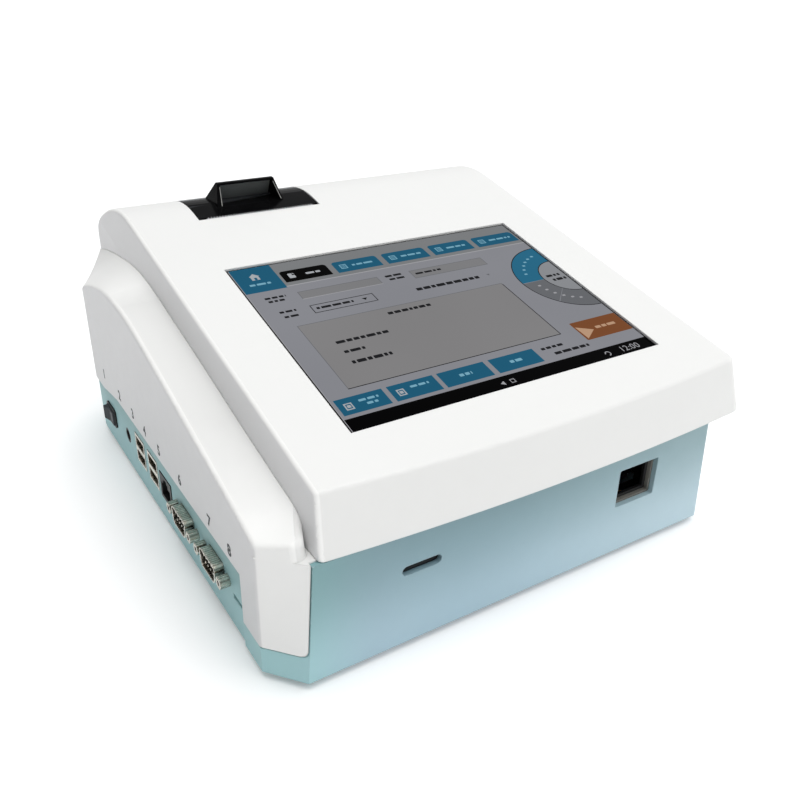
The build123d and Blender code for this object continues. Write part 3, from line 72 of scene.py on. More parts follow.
class Mat:
    """Small helper round a node tree."""
    def __init__(self, name):
        self.m = bpy.data.materials.new(name)
        self.m.use_nodes = True
        self.t = self.m.node_tree
        self.t.nodes.clear()
        self.out = self.n('ShaderNodeOutputMaterial')
        self.b = self.n('ShaderNodeBsdfPrincipled')
        self.l(self.b.outputs[0], self.out.inputs['Surface'])
        tc = self.n('ShaderNodeTexCoord')
        self.co = tc.outputs['Object']

    def n(self, kind, **kw):
        node = self.t.nodes.new(kind)
        for k, v in kw.items():
            setattr(node, k, v)
        return node

    def l(self, a, b):
        self.t.links.new(a, b)

    def noise(self, scale, detail=2.0, rough=0.5, co=None, dist=0.0):
        n = self.n('ShaderNodeTexNoise')
        n.inputs['Scale'].default_value = scale
        n.inputs['Detail'].default_value = detail
        n.inputs['Roughness'].default_value = rough
        n.inputs['Distortion'].default_value = dist
        self.l(co or self.co, n.inputs['Vector'])
        return n.outputs['Fac']

    def voronoi(self, scale, feature='F1', co=None):
        n = self.n('ShaderNodeTexVoronoi', feature=feature)
        n.inputs['Scale'].default_value = scale
        self.l(co or self.co, n.inputs['Vector'])
        return n.outputs['Distance']

    def ramp(self, fac, stops):
        r = self.n('ShaderNodeValToRGB')
        els = r.color_ramp.elements
        while len(els) < len(stops):
            els.new(0.5)
        for e, (p, c) in zip(els, stops):
            e.position = p
            e.color = c if len(c) == 4 else (*c, 1.0)
        self.l(fac, r.inputs['Fac'])
        return r.outputs['Color']

    def rng(self, fac, a, b, lo=0.0, hi=1.0):
        m = self.n('ShaderNodeMapRange')
        m.inputs['From Min'].default_value = lo
        m.inputs['From Max'].default_value = hi
        m.inputs['To Min'].default_value = a
        m.inputs['To Max'].default_value = b
        self.l(fac, m.inputs['Value'])
        return m.outputs['Result']

    def mix(self, fac, a, b, blend='MIX'):
        m = self.n('ShaderNodeMix', data_type='RGBA', blend_type=blend)
        if isinstance(fac, (int, float)):
            m.inputs['Factor'].default_value = fac
        else:
            self.l(fac, m.inputs['Factor'])
        for v, s in ((a, m.inputs[6]), (b, m.inputs[7])):
            if isinstance(v, tuple):
                s.default_value = v
            else:
                self.l(v, s)
        return m.outputs[2]

    def math(self, op, a, b=0.0, clamp=False):
        m = self.n('ShaderNodeMath', operation=op)
        m.use_clamp = clamp
        for v, s in ((a, m.inputs[0]), (b, m.inputs[1])):
            if isinstance(v, (int, float)):
                s.default_value = v
            else:
                self.l(v, s)
        return m.outputs[0]

    def bump(self, height, strength, distance, base=None):
        b = self.n('ShaderNodeBump')
        b.inputs['Strength'].default_value = strength
        b.inputs['Distance'].default_value = distance
        self.l(height, b.inputs['Height'])
        if base is not None:
            self.l(base, b.inputs['Normal'])
        return b.outputs['Normal']

    def axis(self, which, a, b):
        """0 to 1 as the object coordinate runs from a to b (metres)."""
        sp = self.n('ShaderNodeSeparateXYZ')
        self.l(self.co, sp.inputs[0])
        m = self.n('ShaderNodeMapRange')
        m.interpolation_type = 'SMOOTHSTEP'
        m.inputs['From Min'].default_value = a
        m.inputs['From Max'].default_value = b
        self.l(sp.outputs[which], m.inputs['Value'])
        return m.outputs['Result']

    def edge_soft(self, radius):
        b = self.n('ShaderNodeBevel')
        b.samples = 6
        b.inputs['Radius'].default_value = radius
        return b.outputs['Normal']

    def edge_mask(self, radius, lo=0.02, hi=0.25):
        """1 near a sharp edge, from how far the softened normal turns."""
        bv = self.edge_soft(radius)
        g = self.n('ShaderNodeNewGeometry')
        d = self.n('ShaderNodeVectorMath', operation='DOT_PRODUCT')
        self.l(bv, d.inputs[0])
        self.l(g.outputs['Normal'], d.inputs[1])
        inv = self.math('SUBTRACT', 1.0, d.outputs['Value'])
        return self.rng(inv, 0.0, 1.0, lo, hi)

    def set(self, **kw):
        names = {'rough': 'Roughness', 'metal': 'Metallic', 'coat': 'Coat Weight', 'coat_rough': 'Coat Roughness',
                 'ior': 'IOR', 'spec': 'Specular IOR Level', 'color': 'Base Color', 'normal': 'Normal',
                 'emit': 'Emission Color', 'emit_s': 'Emission Strength', 'trans': 'Transmission Weight',
                 'alpha': 'Alpha', 'sheen': 'Sheen Weight', 'sss': 'Subsurface Weight'}
        for k, v in kw.items():
            s = self.b.inputs[names[k]]
            if hasattr(v, 'is_linked') or hasattr(v, 'links'):
                self.l(v, s)
            else:
                s.default_value = v
        return self


def moulded(name, col, rough=0.42, grain=2600.0, depth=0.00003, strength=0.35, vary=0.03, edge=0.00035,
            wear_and_highlight_color=None, tints=(), painted_facing_shade=None):
    """Injection-moulded plastic: fine spark texture, slow colour drift, softened edges, a little edge wear with painted
    edge highlight, optional tints along an axis and painted shade by facing.
    """
    m = Mat(name)
    big = m.noise(9.0, 3.0, 0.6)
    mid = m.noise(140.0, 3.0, 0.6)
    c1 = tuple(max(0.0, x * (1 - vary)) for x in col[:3]) + (1.0,)
    c2 = tuple(min(1.0, x * (1 + vary)) for x in col[:3]) + (1.0,)
    c = m.mix(m.rng(big, 0.0, 1.0, 0.3, 0.7), c1, c2)
    c = m.mix(m.rng(mid, 0.0, 0.5, 0.35, 0.75), c, c1)
    # painted light and shade by which way the surface faces (object-space normal X)
    if painted_facing_shade is not None:
        nt = m.n('ShaderNodeTexCoord')
        sp = m.n('ShaderNodeSeparateXYZ')
        m.l(nt.outputs['Normal'], sp.inputs[0])
        side = m.math('MULTIPLY', sp.outputs['X'], -1.0, clamp=True)
        c = m.mix(1.0, c, m.ramp(side, [(pos, (v, v, v * w, 1.0)) for pos, v, w in painted_facing_shade]), 'MULTIPLY')
    # tints along an object axis; on the blue shell two of them are painted light and a painted shadow
    for which, a, b, tint in tints:
        c = m.mix(m.axis(which, a, b), c, m.mix(1.0, c, tint, 'MULTIPLY'))
    # edge colour: a little wear, and where it is lighter than the body, a painted highlight along the edges
    if wear_and_highlight_color is not None:
        e = m.edge_mask(0.0009)
        br = m.noise(420.0, 3.0, 0.7)
        wear_and_highlight = m.math('MULTIPLY', e, m.rng(br, 0.0, 0.55, 0.45, 0.7), clamp=True)
        c = m.mix(wear_and_highlight, c, wear_and_highlight_color)
    g1 = m.noise(grain, 2.0, 0.6)
    g2 = m.voronoi(grain * 0.6)
    h = m.math('ADD', g1, m.math('MULTIPLY', g2, 0.5))
    rgh = m.math('ADD', m.rng(mid, rough - 0.03, rough + 0.05, 0.3, 0.7), m.rng(g1, -0.03, 0.03, 0.3, 0.7))
    soft = m.edge_soft(edge)
    m.set(color=c, rough=rgh, normal=m.bump(h, strength, depth, soft))
    m.b.inputs['IOR'].default_value = 1.5
    return m.m


def metal(name, col, rough=0.3, brushed=None, grain=1.0, edge=0.0002):
    m = Mat(name)
    mp = m.n('ShaderNodeMapping')
    m.l(m.co, mp.inputs['Vector'])
    sc = {'x': (20, 2200, 2200), 'y': (2200, 20, 2200), 'z': (2200, 2200, 20), None: (700, 700, 700)}[brushed]
    mp.inputs['Scale'].default_value = tuple(s * grain for s in sc)
    n1 = m.noise(1.0, 3.0, 0.6, co=mp.outputs['Vector'])
    n2 = m.noise(260.0, 4.0, 0.6)
    c = m.mix(m.rng(n2, 0.0, 1.0, 0.3, 0.7), tuple(x * 0.88 for x in col[:3]) + (1.0,), col)
    r = m.math('ADD', m.rng(n1, rough - 0.08, rough + 0.10, 0.25, 0.75), m.rng(n2, -0.04, 0.05, 0.3, 0.7))
    m.set(color=c, metal=1.0, rough=r, normal=m.bump(n1, 0.12, 0.00002, m.edge_soft(edge)))
    return m.m


WHITE = lin(252, 252, 250)
BLUE = lin(169, 197, 210)

mats = {
    # the blue shell's light edge colour is a painted highlight along its edges
    "blue_shell": moulded("blue_shell", BLUE, 0.46, 2300, 0.00004, 0.4, 0.025, edge=0.0006, wear_and_highlight_color=lin(212, 229, 236),
                          # tints: brighter towards the right end is painted light; darker towards the top is a painted
                          # shadow under the cover's lip; greener towards the left end
                          tints=(('X', -0.05, 0.10, (1.30, 1.20, 1.15, 1.0)),
                                 ('Z', 0.006, 0.054, (0.54, 0.61, 0.595, 1.0)),
                                 ('X', -0.075, -0.119, (0.94, 1.12, 1.01, 1.0)))),
    "white_cover": moulded("white_cover", WHITE, 0.38, 3000, 0.00002, 0.22, 0.010, edge=0.0008, wear_and_highlight_color=lin(246, 246, 244),
                           # painted light and shade: faces turned half to the left are lightest, faces turned fully
                           # left are darkest
                           painted_facing_shade=((0.0, 0.833, 1.0), (0.14, 0.833, 1.0), (0.28, 1.0, 1.0), (0.62, 1.0, 1.0),
                                   (0.79, 0.905, 1.0), (0.90, 0.765, 1.02), (1.0, 0.750, 1.025))),
    "black_plastic": moulded("black_plastic", lin(22, 22, 23), 0.42, 2200, 0.00004, 0.4, 0.1, wear_and_highlight_color=lin(46, 46, 46)),
    "grey_plastic": moulded("grey_plastic", lin(120, 118, 112), 0.45, 2200, 0.00004, 0.4, 0.05, wear_and_highlight_color=lin(150, 148, 142)),
    "feet_rubber": moulded("feet_rubber", lin(34, 34, 35), 0.75, 1500, 0.00006, 0.6, 0.1),
    "roller_rubber": moulded("roller_rubber", lin(30, 30, 30), 0.6, 1800, 0.00004, 0.5, 0.1),
    "gear_plastic": moulded("gear_plastic", lin(226, 222, 208), 0.4, 2000, 0.00002, 0.3, 0.03),
    "ribbon": moulded("ribbon", lin(214, 208, 186), 0.4, 900, 0.00003, 0.3, 0.04),
    "paper": moulded("paper", lin(238, 238, 234), 0.75, 3800, 0.00003, 0.5, 0.02),
    "screw_steel": metal("screw_steel", lin(150, 150, 150), 0.32, None, 1.0),
    "bright_steel": metal("bright_steel", lin(196, 197, 200), 0.22, 'x', 1.0),
    "sheet_steel": metal("sheet_steel", lin(188, 190, 192), 0.36, 'y', 0.4),
    "lcd_metal": metal("lcd_metal", lin(182, 184, 186), 0.34, None, 1.0),
    "brass": metal("brass", lin(206, 170, 96), 0.28, None, 1.0),
    "aluminium": metal("aluminium", lin(196, 198, 202), 0.36, 'y', 0.6),
    "black_metal": metal("black_metal", lin(40, 41, 43), 0.42, None, 1.0),
}


def gloss_black():
    m = Mat("black_gloss")
    big = m.noise(60.0, 3.0, 0.55)
    fine = m.noise(1600.0, 2.0, 0.5)
    c = m.mix(m.rng(big, 0.0, 1.0, 0.3, 0.7), lin(6, 6, 7), lin(13, 13, 14))
    # painted reflection: the rear of the door plate, up to the plate's top, is painted light grey for the bright room
    # mirrored in the gloss
    sp = m.n('ShaderNodeSeparateXYZ')
    m.l(m.co, sp.inputs[0])
    v = m.math('SUBTRACT', sp.outputs['Y'], m.math('MULTIPLY', sp.outputs['X'], 0.18))
    plate = m.math('LESS_THAN', sp.outputs['Z'], 0.1255)
    painted_rear_reflection = m.math('MULTIPLY', m.rng(v, 0.0, 1.0, 0.0942, 0.0975), plate)
    c = m.mix(painted_rear_reflection, c, m.mix(m.rng(big, 0.0, 1.0, 0.3, 0.7), lin(72, 75, 78), lin(84, 87, 90)))
    scr = m.n('ShaderNodeMapping')
    m.l(m.co, scr.inputs['Vector'])
    scr.inputs['Scale'].default_value = (40, 1800, 1800)
    scr.inputs['Rotation'].default_value = (0.0, 0.0, 0.35)
    s = m.noise(1.0, 2.0, 0.5, co=scr.outputs['Vector'])
    fine_s = m.rng(s, 0.0, 0.10, 0.62, 0.8)
    r = m.math('ADD', m.rng(big, 0.10, 0.17, 0.3, 0.7), fine_s)
    m.set(color=c, rough=r, normal=m.bump(fine, 0.05, 0.00001, m.edge_soft(0.0005)))
    m.b.inputs['Specular IOR Level'].default_value = 0.012
    return m.m


def board():
    m = Mat("circuit_board")
    tr = m.n('ShaderNodeTexBrick')
    tr.inputs['Scale'].default_value = 160.0
    tr.inputs['Color1'].default_value = lin(18, 92, 52)
    tr.inputs['Color2'].default_value = lin(14, 80, 44)
    tr.inputs['Mortar'].default_value = lin(34, 122, 74)
    m.l(m.co, tr.inputs['Vector'])
    n = m.noise(900.0, 2.0)
    m.set(color=tr.outputs['Color'], rough=m.rng(n, 0.25, 0.4, 0.3, 0.7), normal=m.bump(tr.outputs['Fac'], 0.3, 0.00004))
    return m.m


def glassy(name, col, rough=0.03):
    m = Mat(name)
    n = m.noise(35.0, 3.0)
    c = m.mix(m.rng(n, 0.0, 1.0, 0.3, 0.7), tuple(x * 0.9 for x in col[:3]) + (1.0,), col)
    m.set(color=c, rough=m.rng(n, rough, rough + 0.03, 0.3, 0.7), trans=0.85)
    m.b.inputs['IOR'].default_value = 1.52
    return m.m


def plated():
    """Nickel plate with a drawn grain, painted shade in its corners and painted highlights along its rims."""
    m = Mat("connector_metal")
    mp = m.n('ShaderNodeMapping')
    m.l(m.co, mp.inputs['Vector'])
    mp.inputs['Scale'].default_value = (300, 2600, 300)
    n1 = m.noise(1.0, 3.0, 0.6, co=mp.outputs['Vector'])
    n2 = m.noise(420.0, 4.0, 0.65)
    ao = m.n('ShaderNodeAmbientOcclusion')
    ao.samples = 6
    ao.inputs['Distance'].default_value = 0.0035
    c = m.mix(m.rng(n2, 0.0, 1.0, 0.35, 0.65), lin(218, 210, 195), lin(244, 238, 224))
    # dark stripes on the parts that stand out from the panel: painted shade of fine formed ribs
    w = m.n('ShaderNodeTexWave', bands_direction='Y')
    w.inputs['Scale'].default_value = 250.0
    m.l(m.co, w.inputs['Vector'])
    sp = m.n('ShaderNodeSeparateXYZ')
    m.l(m.co, sp.inputs[0])
    out = m.math('LESS_THAN', sp.outputs['X'], -0.1193)
    rib_shade = m.math('MULTIPLY', m.rng(w.outputs['Fac'], 0.60, 0.0, 0.05, 0.45), out)
    c = m.mix(rib_shade, c, lin(112, 107, 98))
    # painted shade: darker where ambient occlusion finds corners and recesses
    c = m.mix(m.rng(ao.outputs['AO'], 0.0, 1.0, 0.22, 0.70), lin(38, 39, 40), c)
    # painted highlight along the rims
    e = m.edge_mask(0.0005)
    c = m.mix(e, c, lin(240, 240, 236))
    r = m.math('ADD', m.rng(n1, 0.17, 0.30, 0.25, 0.75), m.rng(n2, -0.02, 0.04, 0.3, 0.7))
    m.set(color=c, metal=1.0, rough=r, normal=m.bump(n1, 0.08, 0.00002, m.edge_soft(0.0004)))
    return m.m


mats["connector_metal"] = plated()
mats["black_gloss"] = gloss_black()
mats["circuit_board"] = board()
mats["lens_glass"] = glassy("lens_glass", lin(225, 235, 240))
mats["filter_glass"] = glassy("filter_glass", lin(120, 175, 110))


def screen_base():
    m = Mat("screen_glass")
    n = m.noise(18.0, 3.0)
    sm = m.noise(70.0, 4.0, 0.65)
    m.set(color=m.mix(m.rng(n, 0.0, 1.0, 0.3, 0.7), lin(6, 6, 7), lin(12, 12, 13)),
          rough=m.rng(sm, 0.05, 0.11, 0.35, 0.7))
    m.b.inputs['IOR'].default_value = 1.52
    m.b.inputs['Specular IOR Level'].default_value = 0.12
    return m.m


mats["screen_glass"] = screen_base()

slots = {s["node"]: s["material_slot"] for s in frame["record"]["subparts"]}
for name, ob in nodes.items():
    ob.data.materials.clear()
    ob.data.materials.append(mats[slots[name]])

# ----------------------------------------------------------------- smoothing
for name, ob in nodes.items():
    me = ob.data
    me.polygons.foreach_set("use_smooth", [True] * len(me.polygons))
    me.set_sharp_from_angle(angle=math.radians(24.0))
    wn = ob.modifiers.new("even_normals", 'WEIGHTED_NORMAL')
    wn.keep_sharp = True
    wn.weight = 50


# ------------------------------------------------------------- screen image
TILT = math.radians(12.9)
SO = Vector((0.0078, -0.0376, 0.0985))
SU = Vector((1, 0, 0))
SV = Vector((0, math.cos(TILT), math.sin(TILT)))
SN = Vector((0, -math.sin(TILT), math.cos(TILT)))


def spt(u, v, h):
    """Screen point: u mm from the left, v mm from the top, h mm over the glass."""
    return SO + SU * ((u - 81.0) / 1000) + SV * ((60.75 - v) / 1000) + SN * ((h - 1.2) / 1000)


def lit(name, col, gain=1.0, grad=None, dots=True):
    """Lit screen colour under glossy glass, with a faint patchy tone and smudges."""
    m = Mat(name)
    c = tuple(min(1.0, x * gain) for x in col[:3]) + (1.0,)
    n = m.noise(14.0, 2.0)
    dark = tuple(x * 0.93 for x in c[:3]) + (1.0,)
    cc = m.mix(m.rng(n, 0.0, 1.0, 0.3, 0.7), dark, c)
    sm = m.noise(70.0, 4.0, 0.65)
    m.set(color=(0.0006, 0.0006, 0.0007, 1.0), rough=m.rng(sm, 0.05, 0.11, 0.35, 0.7), emit=cc, emit_s=1.0)
    m.b.inputs['IOR'].default_value = 1.45
    m.b.inputs['Specular IOR Level'].default_value = 0.006
    return m.m


ui_mats = {
    "ui_back": lit("ui_back", lin(136, 137, 143)),
    "ui_head": lit("ui_head", lin(124, 126, 128)),
    "ui_line": lit("ui_line", lin(160, 160, 164)),
    "ui_tile": lit("ui_tile", lin(30, 90, 118)),
    "ui_tile2": lit("ui_tile2", lin(38, 104, 134)),
    "ui_black": lit("ui_black", lin(2, 2, 2)),
    "ui_ink": lit("ui_ink", lin(30, 30, 33)),
    "ui_pale": lit("ui_pale", lin(168, 172, 176)),
    "ui_soft": lit("ui_soft", lin(120, 170, 190)),
    "ui_box": lit("ui_box", lin(131, 130, 131)),
    "ui_field": lit("ui_field", lin(126, 126, 128)),
    "ui_ring": lit("ui_ring", lin(104, 106, 110)),
    "ui_disc": lit("ui_disc", lin(140, 142, 146)),
    "ui_orange": lit("ui_orange", lin(122, 74, 44)),
    "ui_cream": lit("ui_cream", lin(186, 150, 122)),
}
ui_names = list(ui_mats)
ui_bm = bmesh.new()


def poly(pts, mat, h):
    vs = [ui_bm.verts.new(spt(u, v, h)) for u, v in pts]
    f = ui_bm.faces.new(vs)
    f.material_index = ui_names.index(mat)
    f.normal_update()
    if f.normal.dot(SN) < 0:
        f.normal_flip()
    return f


def rect(u0, v0, u1, v1, mat, h, r=0.0, corners="tltrbrbl"):
    if r <= 0:
        return poly([(u0, v0), (u1, v0), (u1, v1), (u0, v1)], mat, h)
    pts = []
    for key, cu, cv, a0 in (("tl", u0 + r, v0 + r, 180), ("tr", u1 - r, v0 + r, 270),
                            ("br", u1 - r, v1 - r, 0), ("bl", u0 + r, v1 - r, 90)):
        if key in corners:
            for i in range(7):
                a = math.radians(a0 + 15 * i)
                pts.append((cu + r * math.cos(a), cv + r * math.sin(a)))
        else:
            pts.append({"tl": (u0, v0), "tr": (u1, v0), "br": (u1, v1), "bl": (u0, v1)}[key])
    return poly(pts, mat, h)


def outline(u0, v0, u1, v1, w, mat, h):
    rect(u0, v0, u1, v0 + w, mat, h)
    rect(u0, v1 - w, u1, v1, mat, h)
    rect(u0, v0 + w, u0 + w, v1 - w, mat, h)
    rect(u1 - w, v0 + w, u1, v1 - w, mat, h)


def bars(u0, v0, u1, v1, mat, h, seed):
    """Dashes of uneven length that stand where a line of words would be."""
    u, k = u0, seed
    while u < u1 - 0.4:
        k = (k * 73 + 41) % 101
        w = 1.6 + (k % 7) * 0.55
        w = min(w, u1 - u)
        rect(u, v0, u + w, v1, mat, h, r=min(0.35, (v1 - v0) / 2.2, w / 2.2))
        u += w + 0.75


def arc_band(cu, cv, r0, r1, a0, a1, mat, h, n=28):
    for i in range(n):
        b0 = math.radians(a0 + (a1 - a0) * i / n)
        b1 = math.radians(a0 + (a1 - a0) * (i + 1) / n)
        pts = [(cu + r0 * math.cos(b0), cv - r0 * math.sin(b0)), (cu + r1 * math.cos(b0), cv - r1 * math.sin(b0)),
               (cu + r1 * math.cos(b1), cv - r1 * math.sin(b1)), (cu + r0 * math.cos(b1), cv - r0 * math.sin(b1))]
        if r0 <= 0:
            pts = pts[1:3] + [(cu, cv)]
        poly(pts, mat, h)


E = 0.03
rect(1.75, 0.5, 161.4, 113.0, "ui_back", E)
rect(1.45, 0.5, 1.75, 121.3, "ui_line", E)
rect(21.9, 0.5, 161.4, 19.9, "ui_head", 2 * E)
rect(21.9, 19.9, 161.4, 20.6, "ui_line", 2 * E)
# home tile
rect(1.75, 0.6, 21.9, 21.2, "ui_tile", 3 * E)
rect(1.75, 0.6, 21.9, 1.0, "ui_tile2", 4 * E)
poly([(8.6, 8.2), (11.2, 5.8), (13.8, 8.2)], "ui_pale", 4 * E)
rect(9.2, 8.2, 13.2, 11.2, "ui_pale", 4 * E)
rect(10.6, 9.2, 11.9, 11.2, "ui_tile", 5 * E)
bars(6.2, 14.2, 16.5, 15.7, "ui_soft", 4 * E, 3)
# tabs
tabs = [(23.3, 47.6, "ui_black"), (50.7, 75.4, "ui_tile"), (78.6, 103.2, "ui_tile"),
        (106.3, 130.9, "ui_tile"), (133.8, 160.4, "ui_tile")]
for i, (a, b, mt) in enumerate(tabs):
    rect(a, 7.9, b, 17.4, mt, 3 * E, r=1.8, corners="tltr")
    if i == 0:
        rect(a + 3.2, 10.6, a + 6.4, 14.6, "ui_pale", 4 * E, r=0.5)
        poly([(a + 5.2, 10.6), (a + 6.9, 12.4), (a + 5.2, 12.4)], "ui_black", 5 * E)
        bars(a + 12.0, 12.0, a + 19.5, 13.5, "ui_pale", 4 * E, 7)
    else:
        outline(a + 3.0, 10.8, a + 6.6, 14.6, 0.55, "ui_soft", 4 * E)
        rect(a + 3.9, 11.9, a + 5.7, 12.4, "ui_soft", 4 * E)
        rect(a + 3.9, 13.0, a + 5.7, 13.5, "ui_soft", 4 * E)
        bars(a + 9.5, 12.0, b - 3.0, 13.4, "ui_soft", 4 * E, 11 + 5 * i)
# form rows
bars(8.0, 26.4, 18.2, 27.9, "ui_ink", 3 * E, 5)
bars(8.6, 29.2, 16.4, 30.7, "ui_ink", 3 * E, 9)
rect(24.2, 26.3, 66.2, 32.6, "ui_field", 3 * E)
outline(24.2, 26.3, 66.2, 32.6, 0.3, "ui_ring", 4 * E)
rect(24.2, 32.3, 66.2, 32.7, "ui_line", 5 * E)
bars(70.2, 26.6, 79.2, 28.2, "ui_ink", 3 * E, 15)
bars(71.0, 29.6, 79.6, 31.1, "ui_ink", 3 * E, 21)
rect(84.0, 26.4, 127.6, 33.4, "ui_field", 3 * E)
outline(84.0, 26.4, 127.6, 33.4, 0.3, "ui_ring", 4 * E)
bars(86.2, 29.0, 101.0, 30.5, "ui_ink", 4 * E, 31)
bars(9.6, 38.4, 17.6, 39.9, "ui_ink", 3 * E, 35)
bars(10.2, 42.3, 17.4, 43.8, "ui_ink", 3 * E, 37)
rect(24.4, 38.1, 56.8, 44.5, "ui_back", 3 * E)
outline(24.4, 38.1, 56.8, 44.5, 0.42, "ui_ink", 4 * E)
bars(26.6, 40.4, 45.4, 42.0, "ui_ink", 4 * E, 43)
poly([(49.9, 40.5), (52.7, 40.5), (51.3, 42.3)], "ui_ink", 4 * E)
bars(78.9, 41.2, 115.6, 43.4, "ui_ink", 3 * E, 47)
poly([(120.6, 41.4), (122.6, 41.4), (121.6, 43.0)], "ui_ring", 4 * E)
# result box
rect(12.2, 50.9, 123.2, 97.1, "ui_box", 3 * E)
outline(12.2, 50.9, 123.2, 97.1, 0.3, "ui_ring", 4 * E)
rect(12.2, 96.8, 123.3, 97.25, "ui_ink", 5 * E)
rect(122.9, 52.0, 123.35, 97.2, "ui_ink", 5 * E)
bars(55.2, 54.6, 78.2, 56.5, "ui_ink", 4 * E, 53)
bars(22.4, 66.6, 48.2, 68.5, "ui_ink", 4 * E, 59)
bars(22.6, 73.7, 32.6, 75.5, "ui_ink", 4 * E, 61)
bars(22.3, 81.0, 41.6, 83.1, "ui_ink", 4 * E, 67)
# lower tiles
for i, (a, b) in enumerate([(3.0, 24.6), (26.9, 49.0), (51.1, 75.1), (77.8, 102.3)]):
    rect(a, 101.4, b, 111.1, "ui_tile", 3 * E)
    if i < 2:
        outline(a + 2.6, 104.6, a + 6.2, 108.6, 0.6, "ui_pale", 4 * E)
        rect(a + 3.6, 105.8, a + 5.2, 107.4, "ui_pale", 4 * E)
        bars(a + 9.5, 104.2, a + 18.5, 105.5, "ui_soft", 4 * E, 71 + i)
        if i == 0:
            bars(a + 12.0, 106.8, a + 17.0, 108.1, "ui_soft", 4 * E, 79)
    else:
        bars(a + 9.0, 105.2, a + 15.4, 106.9, "ui_soft", 4 * E, 83 + i)
bars(106.2, 102.8, 118.6, 104.4, "ui_ink", 3 * E, 87)
bars(110.4, 107.4, 130.6, 109.2, "ui_ink", 3 * E, 89)
# ring control, cut by the screen's right edge
RC, RV = 161.4, 55.0
arc_band(RC, RV, 14.2, 27.6, 90, 180, "ui_tile2", 3 * E)
arc_band(RC, RV, 14.2, 27.6, 180.8, 224, "ui_ring", 3 * E, 12)
arc_band(RC, RV, 14.2, 27.6, 224.8, 270, "ui_ring", 3 * E, 12)
arc_band(RC, RV, 27.6, 28.1, 90, 270, "ui_ink", 3 * E, 40)
arc_band(RC, RV, 13.7, 14.2, 90, 270, "ui_ink", 3 * E, 30)
arc_band(RC, RV, 0.0, 13.7, 90, 270, "ui_disc", 3 * E, 24)
for k in range(6):
    a = math.radians(106 + 11 * k)
    cu, cv = RC + 21.5 * math.cos(a), RV - 21.5 * math.sin(a)
    rect(cu - 0.9, cv - 0.6, cu + 0.9, cv + 0.6, "ui_soft", 4 * E, r=0.4)
for k in range(6):
    a = math.radians(192 + 12 * k)
    cu, cv = RC + 21.0 * math.cos(a), RV - 21.0 * math.sin(a)
    rect(cu - 0.9, cv - 0.6, cu + 0.9, cv + 0.6, "ui_line", 4 * E, r=0.4)
bars(150.2, 52.4, 159.0, 54.2, "ui_ink", 4 * E, 91)
bars(151.6, 56.2, 160.0, 58.2, "ui_ink", 4 * E, 93)
# orange button with a turned corner
rect(132.6, 91.7, 161.2, 105.6, "ui_orange", 3 * E, r=0.6)
poly([(133.4, 95.2), (141.4, 99.6), (133.8, 104.6)], "ui_cream", 4 * E)
bars(143.4, 97.6, 156.6, 99.4, "ui_cream", 4 * E, 97)
# black bar at the foot
rect(1.75, 113.0, 161.4, 121.0, "ui_black", 2 * E)
poly([(73.4, 117.2), (75.6, 115.9), (75.6, 118.5)], "ui_line", 3 * E)
outline(78.6, 116.0, 81.0, 118.4, 0.35, "ui_line", 3 * E)
arc_band(134.4, 117.2, 1.1, 1.6, -90, 180, "ui_line", 3 * E, 14)

ui_me = bpy.data.meshes.new("screen_image")
ui_bm.to_mesh(ui_me)
ui_bm.free()
for nme in ui_names:
    ui_me.materials.append(ui_mats[nme])
ui = bpy.data.objects.new("screen_image", ui_me)
scene.collection.objects.link(ui)
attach(ui, "chassis")

# clock digits on the black bar
rot_s = Matrix((SU, SV, SN)).transposed().to_4x4()


def digits(name, body, loc, mat3, size, mat, ride, spacing=1.0, thick=0.0, bold=0.0):
    cu = bpy.data.curves.new(name, 'FONT')
    cu.body = body
    cu.size = size
    cu.align_x = 'CENTER'
    cu.align_y = 'CENTER'
    cu.space_character = spacing
    cu.extrude = thick
    cu.offset = bold
    cu.resolution_u = 4
    ob = bpy.data.objects.new(name, cu)
    scene.collection.objects.link(ob)
    ob.matrix_world = Matrix.Translation(loc) @ mat3
    dg = bpy.context.evaluated_depsgraph_get()
    me = bpy.data.meshes.new_from_object(ob.evaluated_get(dg))
    me.transform(ob.matrix_world)
    mo = bpy.data.objects.new(name + "_mesh", me)
    scene.collection.objects.link(mo)
    bpy.data.objects.remove(ob)
    me.materials.clear()
    me.materials.append(mat)
    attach(mo, ride)
    return mo


clock = digits("clock_digits", "12:00", spt(148.0, 117.0, 3 * E), rot_s, 0.0052, ui_mats["ui_line"], "chassis", 1.05)

# -------------------------------------------------------- hood of the door
def wedge(name, quad, depth, mat, body, soft=0.0):
    """Closed slab from four corners (metres), grown by the vector depth, with a small bevel."""
    bm = bmesh.new()
    a = [bm.verts.new(Vector(p)) for p in quad]
    b = [bm.verts.new(Vector(p) + Vector(depth)) for p in quad]
    bm.faces.new(a)
    bm.faces.new(list(reversed(b)))
    for i in range(4):
        j = (i + 1) % 4
        bm.faces.new((a[j], a[i], b[i], b[j]))
    bmesh.ops.recalc_face_normals(bm, faces=bm.faces)
    if soft:
        bmesh.ops.bevel(bm, geom=list(bm.edges), offset=soft, segments=2, affect='EDGES')
    me = bpy.data.meshes.new(name)
    bm.to_mesh(me)
    bm.free()
    me.materials.append(mat)
    ob = bpy.data.objects.new(name, me)
    scene.collection.objects.link(ob)
    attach(ob, body)
    return ob


def hood_back(x, z, off):
    return (x / 1000, (94.9 - (z - 124.55) * 0.860 - off) / 1000, z / 1000)


def hood_front(x, z, off):
    return (x / 1000, (78.6 + (z - 124.0) * 0.6195 - off) / 1000, z / 1000)


# painted light: a lighter sheet on the back wall inside the hood stands for the lit back wall
lit_back_sheet = moulded("hood_painted_lit_back", lin(112, 116, 116), 0.4, 2200, 0.00003, 0.4, 0.06)
